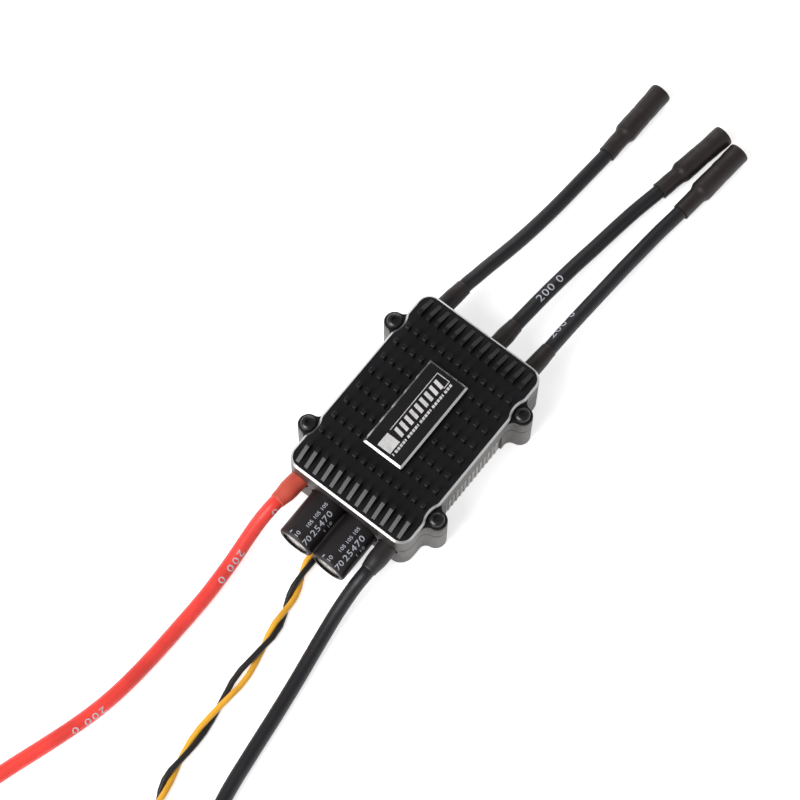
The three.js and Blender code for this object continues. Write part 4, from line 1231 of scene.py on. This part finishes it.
class OBJECT_OT_controller_cover(bpy.types.Operator):
    """Builds the finned cover: its shell, rim, pins, end fins and label plateau"""

    bl_idname = "object.controller_cover"
    bl_label = "Cover"

    def execute(self, context):
        self.shell(context)
        self.pins(context)
        self.end_fins(context)
        self.plateau(context)
        return {"FINISHED"}

    def shell(self, context):
        case = context.scene.controller_case
        bottom, ear_top, rim = COVER_LOW.z, case.ear_height, case.rim_height
        edge, seam_edge = 0.22 * MM, 0.12 * MM
        mesh_data = bmesh.new()
        stack(mesh_data, eared_outline(), [
            (bottom, seam_edge), (bottom + seam_edge, 0), (ear_top - edge, 0),
            (ear_top - edge * 0.3, edge * 0.3), (ear_top, edge),
        ])
        shell = new_piece("cover_shell", mesh_data, ["anodised", "edge", "case"])
        top = bmesh.new()
        stack(top, notched_outline(), [(ear_top - MM, 0), (rim - case.chamfer, 0), (rim, case.chamfer)])
        combine(shell, [cutter_from(top)], "UNION")
        cut(shell, [cavity(bottom - MM, rim - case.plate), *ear_holes(bottom - MM, ear_top + MM),
                    *end_openings()])
        paint_by_direction(shell.data, rim - case.chamfer)
        smooth(shell.data, 30)
        return keep(shell, "black_anodised", "top_cover")

    def pins(self, context):
        fins, rim = context.scene.controller_fins, context.scene.controller_case.rim_height
        mesh_data = bmesh.new()
        box_into(mesh_data, (-fins.length / 2, -fins.width / 2, rim - FIN_ROOT),
                 (fins.length / 2, fins.width / 2, rim + fins.height), 0.12 * MM, 1)
        template = new_piece("pin_template", mesh_data, [], 30)
        pins = field_piece("cover_pins", template, "anodised", **{
            "Columns": fins.columns, "Rows": fins.rows,
            "Field Length": (fins.columns - 1) * fins.column_pitch,
            "Field Width": (fins.rows - 1) * fins.row_pitch,
            "Label Length": fins.label_length + fins.length, "Label Width": fins.label_width + fins.width,
        })
        return keep(pins, "black_anodised")

    def end_fins(self, context):
        """A flat top of a pin's length, then a slope down to the rim."""
        fins, rim = context.scene.controller_fins, context.scene.controller_case.rim_height
        start, crest = -fins.length / 2, fins.length / 2
        foot, root, top = crest + fins.ramp, rim - FIN_ROOT, rim + fins.height
        profile = [(start, root), (foot, root), (foot, rim), (crest, top), (start, top)]
        mesh_data = bmesh.new()
        skin_into(mesh_data, [[mesh_data.verts.new((x, y, z)) for x, z in profile]
                              for y in (-fins.width / 2, fins.width / 2)])
        bmesh.ops.bevel(mesh_data, geom=mesh_data.edges[:], offset=0.05 * MM, segments=1, affect="EDGES",
                        profile=0.5)
        template = new_piece("end_fin_template", mesh_data, [], 30)
        ramps = field_piece("cover_end_fins", template, "anodised", **{
            "Columns": 2, "Rows": fins.rows, "Field Length": (fins.columns + 1) * fins.column_pitch,
            "Field Width": (fins.rows - 1) * fins.row_pitch,
        })
        return keep(ramps, "black_anodised")

    def plateau(self, context):
        fins, rim = context.scene.controller_fins, context.scene.controller_case.rim_height
        x, y, top = fins.label_length / 2, fins.label_width / 2, rim + fins.label_height
        outer = rounded_rectangle(x, y, 0.3 * MM, 3)
        inner = rounded_rectangle(x - fins.label_chamfer, y - fins.label_chamfer, 0.1 * MM, 3)
        mesh_data = bmesh.new()
        loft_into(mesh_data, [(outer, rim - FIN_ROOT), (outer, top - fins.label_chamfer), (inner, top)])
        plateau = new_piece("label_plateau", mesh_data, ["anodised", "edge"])
        for face in plateau.data.polygons:
            sloping = 0.3 < face.normal.z < 0.93
            face.material_index = 1 if sloping else 0
        smooth(plateau.data, 20)
        keep(plateau, "black_anodised")
        self.label_marks(top)

    def label_marks(self, top):
        """Plain etched marks: a filled square, a thin bent line, a row of slanted bars and a dashed row."""
        mesh_data = bmesh.new()
        lift = 0.02 * MM

        def bar(x0, x1, y0, y1, slant=0.0):
            corners = [(x0, y0), (x1, y0), (x1 + slant, y1), (x0 + slant, y1)]
            skin_into(mesh_data, [[mesh_data.verts.new((x, y, z)) for x, y in corners]
                                  for z in (top - lift, top + lift)])

        line = 0.2 * MM
        low, high, left, right = -1.5 * MM, 2.5 * MM, -12.3 * MM, 12.0 * MM
        bar(left, left + 4.0 * MM, low, high)
        bar(left + 5.0 * MM, right, high - line, high)
        bar(right - line, right, low, high - line)
        bar(right - 2.4 * MM, right - line, low, low + line)
        for i in range(9):
            x = left + (5.2 + 2.0 * i) * MM
            bar(x, x + 1.05 * MM, low + 0.4 * MM, high - 0.8 * MM, 0.45 * MM)
        for i in range(24):
            x = left + (0.1 + 1.0 * i) * MM
            bar(x, x + (0.75 if i % 5 else 0.35) * MM, low - 1.15 * MM, low - 0.45 * MM, 0.1 * MM)
        marks = new_piece("label_marks", mesh_data, ["etched"])
        return keep(marks, "capacitor_aluminium")


class OBJECT_OT_controller_tray(bpy.types.Operator):
    """Builds the base tray with its ribbed side panels and its channel for the signal lead"""

    bl_idname = "object.controller_tray"
    bl_label = "Base Tray"

    def execute(self, context):
        case = context.scene.controller_case
        top, edge = TRAY_TOP, 0.12 * MM
        mesh_data = bmesh.new()
        stack(mesh_data, eared_outline(), [
            (0, 0.35 * MM), (0.1 * MM, 0.1 * MM), (0.35 * MM, 0), (top - edge, 0), (top, edge),
        ])
        tray = new_piece("tray_shell", mesh_data, ["case", "recess"])
        half = case.panel_length / 2
        panel_near, panel_far = case.half_width - case.panel_depth, case.half_width + MM
        panels = [box_cutter((-half, -panel_far, -MM), (half, -panel_near, top + MM)),
                  box_cutter((-half, panel_near, -MM), (half, panel_far, top + MM))]
        channel = box_cutter((-HALF_LENGTH - MM, -2.2 * MM, -MM), (-HALF_LENGTH + 9.4 * MM, 2.2 * MM, 3 * MM))
        cut(tray, [cavity(2 * MM, top + MM), *ear_holes(3.5 * MM, top + MM), *end_openings(), *panels,
                   channel])
        # Faces in the ribbed recess take the brighter aluminium: painted light that offsets the recess's
        # shade.
        for face in tray.data.polygons:
            reach = abs(face.center.y)
            in_depth = case.half_width - 0.6 * case.wall < reach < case.half_width - 0.25 * case.wall
            if abs(face.normal.y) > 0.9 and in_depth and abs(face.center.x) < half:
                face.material_index = 1
        smooth(tray.data, 30)
        keep(tray, "base_aluminium", "base_tray")
        self.ribs(case, top)
        self.bosses()
        return {"FINISHED"}

    def ribs(self, case, top):
        pitch, width, depth, margin = 1.6 * MM, 0.6 * MM, 0.3 * MM, 0.6 * MM
        count = int((case.panel_length - pitch) / pitch)
        mesh_data = bmesh.new()
        box_into(mesh_data, (-width / 2, -depth, margin), (width / 2, depth, top - margin), 0.12 * MM)
        template = new_piece("rib_template", mesh_data, [], 30)
        # The ribs take the same brighter aluminium, painted light over the recess's shade.
        ribs = field_piece("tray_ribs", template, "recess", **{
            "Columns": count, "Rows": 2, "Field Length": (count - 1) * pitch,
            "Field Width": 2 * (case.half_width - case.panel_depth),
        })
        keep(ribs, "base_aluminium")

    def bosses(self):
        """Posts that hold the power board, rooted in the floor and just clear of the board."""
        low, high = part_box("power_board")
        reach_x, reach_y = (high.x - low.x) / 2 - 1.9 * MM, (high.y - low.y) / 2 - 1.9 * MM
        middle, foot, radius, edge = (low.x + high.x) / 2, MM, 1.6 * MM, 0.2 * MM
        tall = low.z - 0.3 * MM - foot
        profile = [(0, 0), (radius, 0), (radius, tall - edge), (radius - edge, tall), (0, tall)]
        mesh_data = bmesh.new()
        for sx, sy in CORNERS:
            place = Matrix.Translation((middle + sx * reach_x, sy * reach_y, foot))
            lathe_into(mesh_data, profile, place, 24, closed=False)
        keep(new_piece("tray_bosses", mesh_data, ["case"], 30), "base_aluminium")


class OBJECT_OT_controller_screws(bpy.types.Operator):
    """Builds the four case screws"""

    bl_idname = "object.controller_screws"
    bl_label = "Case Screws"

    def execute(self, context):
        low, high = SCREW_LOW.z, SCREW_HIGH.z
        head = (SCREW_HIGH.x - SCREW_LOW.x) / 2
        seat, shank, thread_pitch = high - 1.3 * MM, 0.95 * MM, 0.45 * MM
        profile = [(0, low), (shank - 0.3 * MM, low), (shank, low + 0.4 * MM)]
        z = low + 0.6 * MM
        while z < seat - 3.5 * MM:
            profile += [(shank, z), (shank - 0.2 * MM, z + thread_pitch / 2)]
            z += thread_pitch
        profile += [(shank, seat), (head - 0.08 * MM, seat), (head, seat + 0.1 * MM), (head, seat + 0.5 * MM),
                    (head * 0.94, seat + 0.85 * MM), (head * 0.78, seat + 1.14 * MM),
                    (head * 0.58, seat + 1.27 * MM), (head * 0.44, high), (0, high)]
        mesh_data = bmesh.new()
        lathe_into(mesh_data, profile, Matrix.Identity(4), 36, closed=False)
        template = new_piece("screw_template", mesh_data, [])
        cut(template, [round_cutter(Matrix.Translation((0, 0, high - 0.85 * MM)), 2 * MM, 0.92 * MM, 6)])
        smooth(template.data, 35)
        screws = field_piece("case_screws", template, "screw", **{
            "Columns": 2, "Rows": 2, "Field Length": 2 * EAR_X, "Field Width": 2 * EAR_Y,
        })
        keep(screws, "screw_steel", *[f"case_screw_{i}" for i in (1, 2, 3, 4)])
        return {"FINISHED"}


class OBJECT_OT_controller_capacitors(bpy.types.Operator):
    """Builds the two smoothing capacitors: shrunk film, can and print, and the glue bead between them"""

    bl_idname = "object.controller_capacitors"
    bl_label = "Capacitors"

    def execute(self, context):
        for number in (1, 2):
            low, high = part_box(f"capacitor_sleeve_{number}")
            y = (low.y + high.y) / 2
            start, end = Vector((low.x, y, CAPACITOR_HEIGHT)), Vector((high.x, y, CAPACITOR_HEIGHT))
            self.film(number, start, end)
            self.can(number, start, end)
            self.marks(number, start, end)
        self.glue()
        return {"FINISHED"}

    def glue(self):
        """A bead of black adhesive in the valley between the two cans."""
        height = CAPACITOR_HEIGHT + 0.25 * MM
        start = Vector((CAN_LOW.x + 0.9 * MM, 0, height))
        end = Vector((-HALF_LENGTH + 0.5 * MM, 0, height))
        length, radius, steps = (end - start).length, 0.85 * MM, 24
        profile = [(0, 0)]
        for i in range(steps + 1):
            share = i / steps
            swell = math.sqrt(max(0.04, math.sin(math.pi * share)) * 3)
            profile.append((radius * min(1.0, swell), share * length))
        profile.append((0, length))
        mesh_data = bmesh.new()
        lathe_into(mesh_data, profile, turning(start, end), 24, lumps=0.25 * MM, lump_size=2 * MM,
                   closed=False)
        keep(new_piece("capacitor_glue", mesh_data, ["bung"], 60), "capacitor_rubber")

    def film(self, number, start, end):
        length, radius, edge, thickness = (end - start).length, CAPACITOR_RADIUS, 0.75 * MM, 0.2 * MM
        lip, edge_steps, steps = radius - 1.25 * MM, 6, 24
        profile = [(lip, 0.1 * MM), (lip + 0.1 * MM, 0.02 * MM), (radius - edge, 0.0)]
        for i in range(1, edge_steps + 1):
            angle = i / edge_steps * math.pi / 2
            profile.append((radius - edge + edge * math.sin(angle), edge * (1 - math.cos(angle))))
        for i in range(1, steps + 1):
            x = edge + i / steps * (length - edge)
            groove = 0.28 * MM * math.exp(-((x - (length - 3.1 * MM)) / (0.55 * MM)) ** 2)
            profile.append((radius - groove, x))
        profile += [(radius - thickness, length), (radius - thickness, 0.9 * MM),
                    (radius - edge, 0.18 * MM), (lip, 0.2 * MM)]
        mesh_data = bmesh.new()
        lathe_into(mesh_data, profile, turning(start, end), 64, lumps=0.035 * MM, lump_size=3 * MM,
                   seed=number * 5)
        film = new_piece(f"capacitor_film_{number}", mesh_data, ["film"], 50)
        return keep(film, "capacitor_film", f"capacitor_sleeve_{number}")

    def can(self, number, start, end):
        """Drawn aluminium with a flat vented end and a rolled groove."""
        low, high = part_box(f"capacitor_can_{number}")
        radius, length = (high.z - low.z) / 2, high.x - low.x
        edge, edge_steps = 0.5 * MM, 5
        flat = radius - edge
        profile = [(0, 0.25 * MM), (flat - 0.7 * MM, 0.25 * MM), (flat - 0.4 * MM, 0.05 * MM), (flat, 0.0)]
        for i in range(1, edge_steps + 1):
            angle = i / edge_steps * math.pi / 2
            profile.append((flat + edge * math.sin(angle), edge * (1 - math.cos(angle))))
        profile += [(radius, length - 3.4 * MM), (radius - 0.5 * MM, length - 2.9 * MM),
                    (radius, length - 2.4 * MM), (radius, length), (0, length)]
        place = turning((low.x, start.y, CAPACITOR_HEIGHT), end)
        mesh_data = bmesh.new()
        lathe_into(mesh_data, profile, place, 64, closed=False)
        can = new_piece(f"can_{number}", mesh_data, ["can"], 40)
        cutters = []
        for turn in (0.0, math.pi / 3, 2 * math.pi / 3):
            score = bmesh.new()
            box_into(score, (-3.0 * MM, -0.1 * MM, -MM), (3.0 * MM, 0.1 * MM, 0.36 * MM))
            bmesh.ops.transform(score, matrix=place @ Matrix.Rotation(turn, 4, "Z"), verts=score.verts)
            cutters.append(cutter_from(score))
        cut(can, cutters)
        smooth(can.data, 40)
        return keep(can, "capacitor_aluminium", f"capacitor_can_{number}")

    def marks(self, number, start, end):
        """Generic numbers and minus signs, printed along the film."""
        texts = [("25470", 3.4, 0.62, 2.5, 1.1, 1.15), ("1 10", 6.2, 1.05, 1.5, 1.1, 1.15),
                 ("-", 0.4, -0.42, 3.0, 1.0, 1.15), ("10", 0.35, 0.0, 1.6, 1.0, 1.15),
                 ("70", 0.3, 0.6, 2.3, 1.0, 1.15), ("105 105 105", 4.0, 0.15, 1.35, 1.0, 1.2)]
        for i, (text, distance, angle, size, spacing, widen) in enumerate(texts, 1):
            piece = wrap_print(f"print_can_{number}_{i}", text, [start, end], distance * MM, CAPACITOR_RADIUS,
                               angle, size * MM, spacing, widen)
            keep(piece, "capacitor_film")


class OBJECT_OT_controller_insides(bpy.types.Operator):
    """Gives the boards and the parts inside the case their finishes"""

    bl_idname = "object.controller_insides"
    bl_label = "Insides"

    finishes = {"power_board": "board", "control_board": "board", "board_header": "plug", "mosfet": "chip",
                "microcontroller": "chip", "gate_driver": "chip", "voltage_regulator": "chip",
                "thermal_pad": "pad", "current_shunt": "shunt", "capacitor_bung": "bung",
                "capacitor_wire": "tin"}

    def execute(self, context):
        for name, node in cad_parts.items():
            for start, finish in self.finishes.items():
                if name.startswith(start):
                    node.data.materials.clear()
                    node.data.materials.append(finish_of(finish))
        return {"FINISHED"}


# ---------------------------------------------------------------- add-on


class VIEW3D_PT_controller(bpy.types.Panel):
    """Lists the steps that build the controller"""

    bl_label = "Speed Controller"
    bl_idname = "VIEW3D_PT_controller"
    bl_space_type = "VIEW_3D"
    bl_region_type = "UI"
    bl_category = "Speed Controller"

    def draw(self, context):
        for operator in STEPS:
            self.layout.operator(operator.bl_idname)
        for group in (context.scene.controller_case, context.scene.controller_fins,
                      context.scene.controller_leads, context.scene.controller_finishes):
            column = self.layout.column()
            for name in group.bl_rna.properties.keys():
                if name not in ("rna_type", "name"):
                    column.prop(group, name)


GROUPS = [("controller_case", CaseSizes), ("controller_fins", FinSizes), ("controller_leads", LeadSizes),
          ("controller_finishes", Finishes)]
STEPS = [OBJECT_OT_controller_stage, OBJECT_OT_controller_motor_leads, OBJECT_OT_controller_power_leads,
         OBJECT_OT_controller_signal_lead, OBJECT_OT_controller_cover, OBJECT_OT_controller_tray,
         OBJECT_OT_controller_screws, OBJECT_OT_controller_capacitors, OBJECT_OT_controller_insides]


def register():
    for _, group in GROUPS:
        bpy.utils.register_class(group)
    for name, group in GROUPS:
        setattr(bpy.types.Scene, name, PointerProperty(type=group))
    for step in [*STEPS, VIEW3D_PT_controller]:
        bpy.utils.register_class(step)


def unregister():
    for step in reversed([*STEPS, VIEW3D_PT_controller]):
        bpy.utils.unregister_class(step)
    for name, group in reversed(GROUPS):
        delattr(bpy.types.Scene, name)
        bpy.utils.unregister_class(group)


def main():
    register()
    for step in STEPS:
        category, name = step.bl_idname.split(".")
        getattr(getattr(bpy.ops, category), name)()


if __name__ == "__main__":
    main()
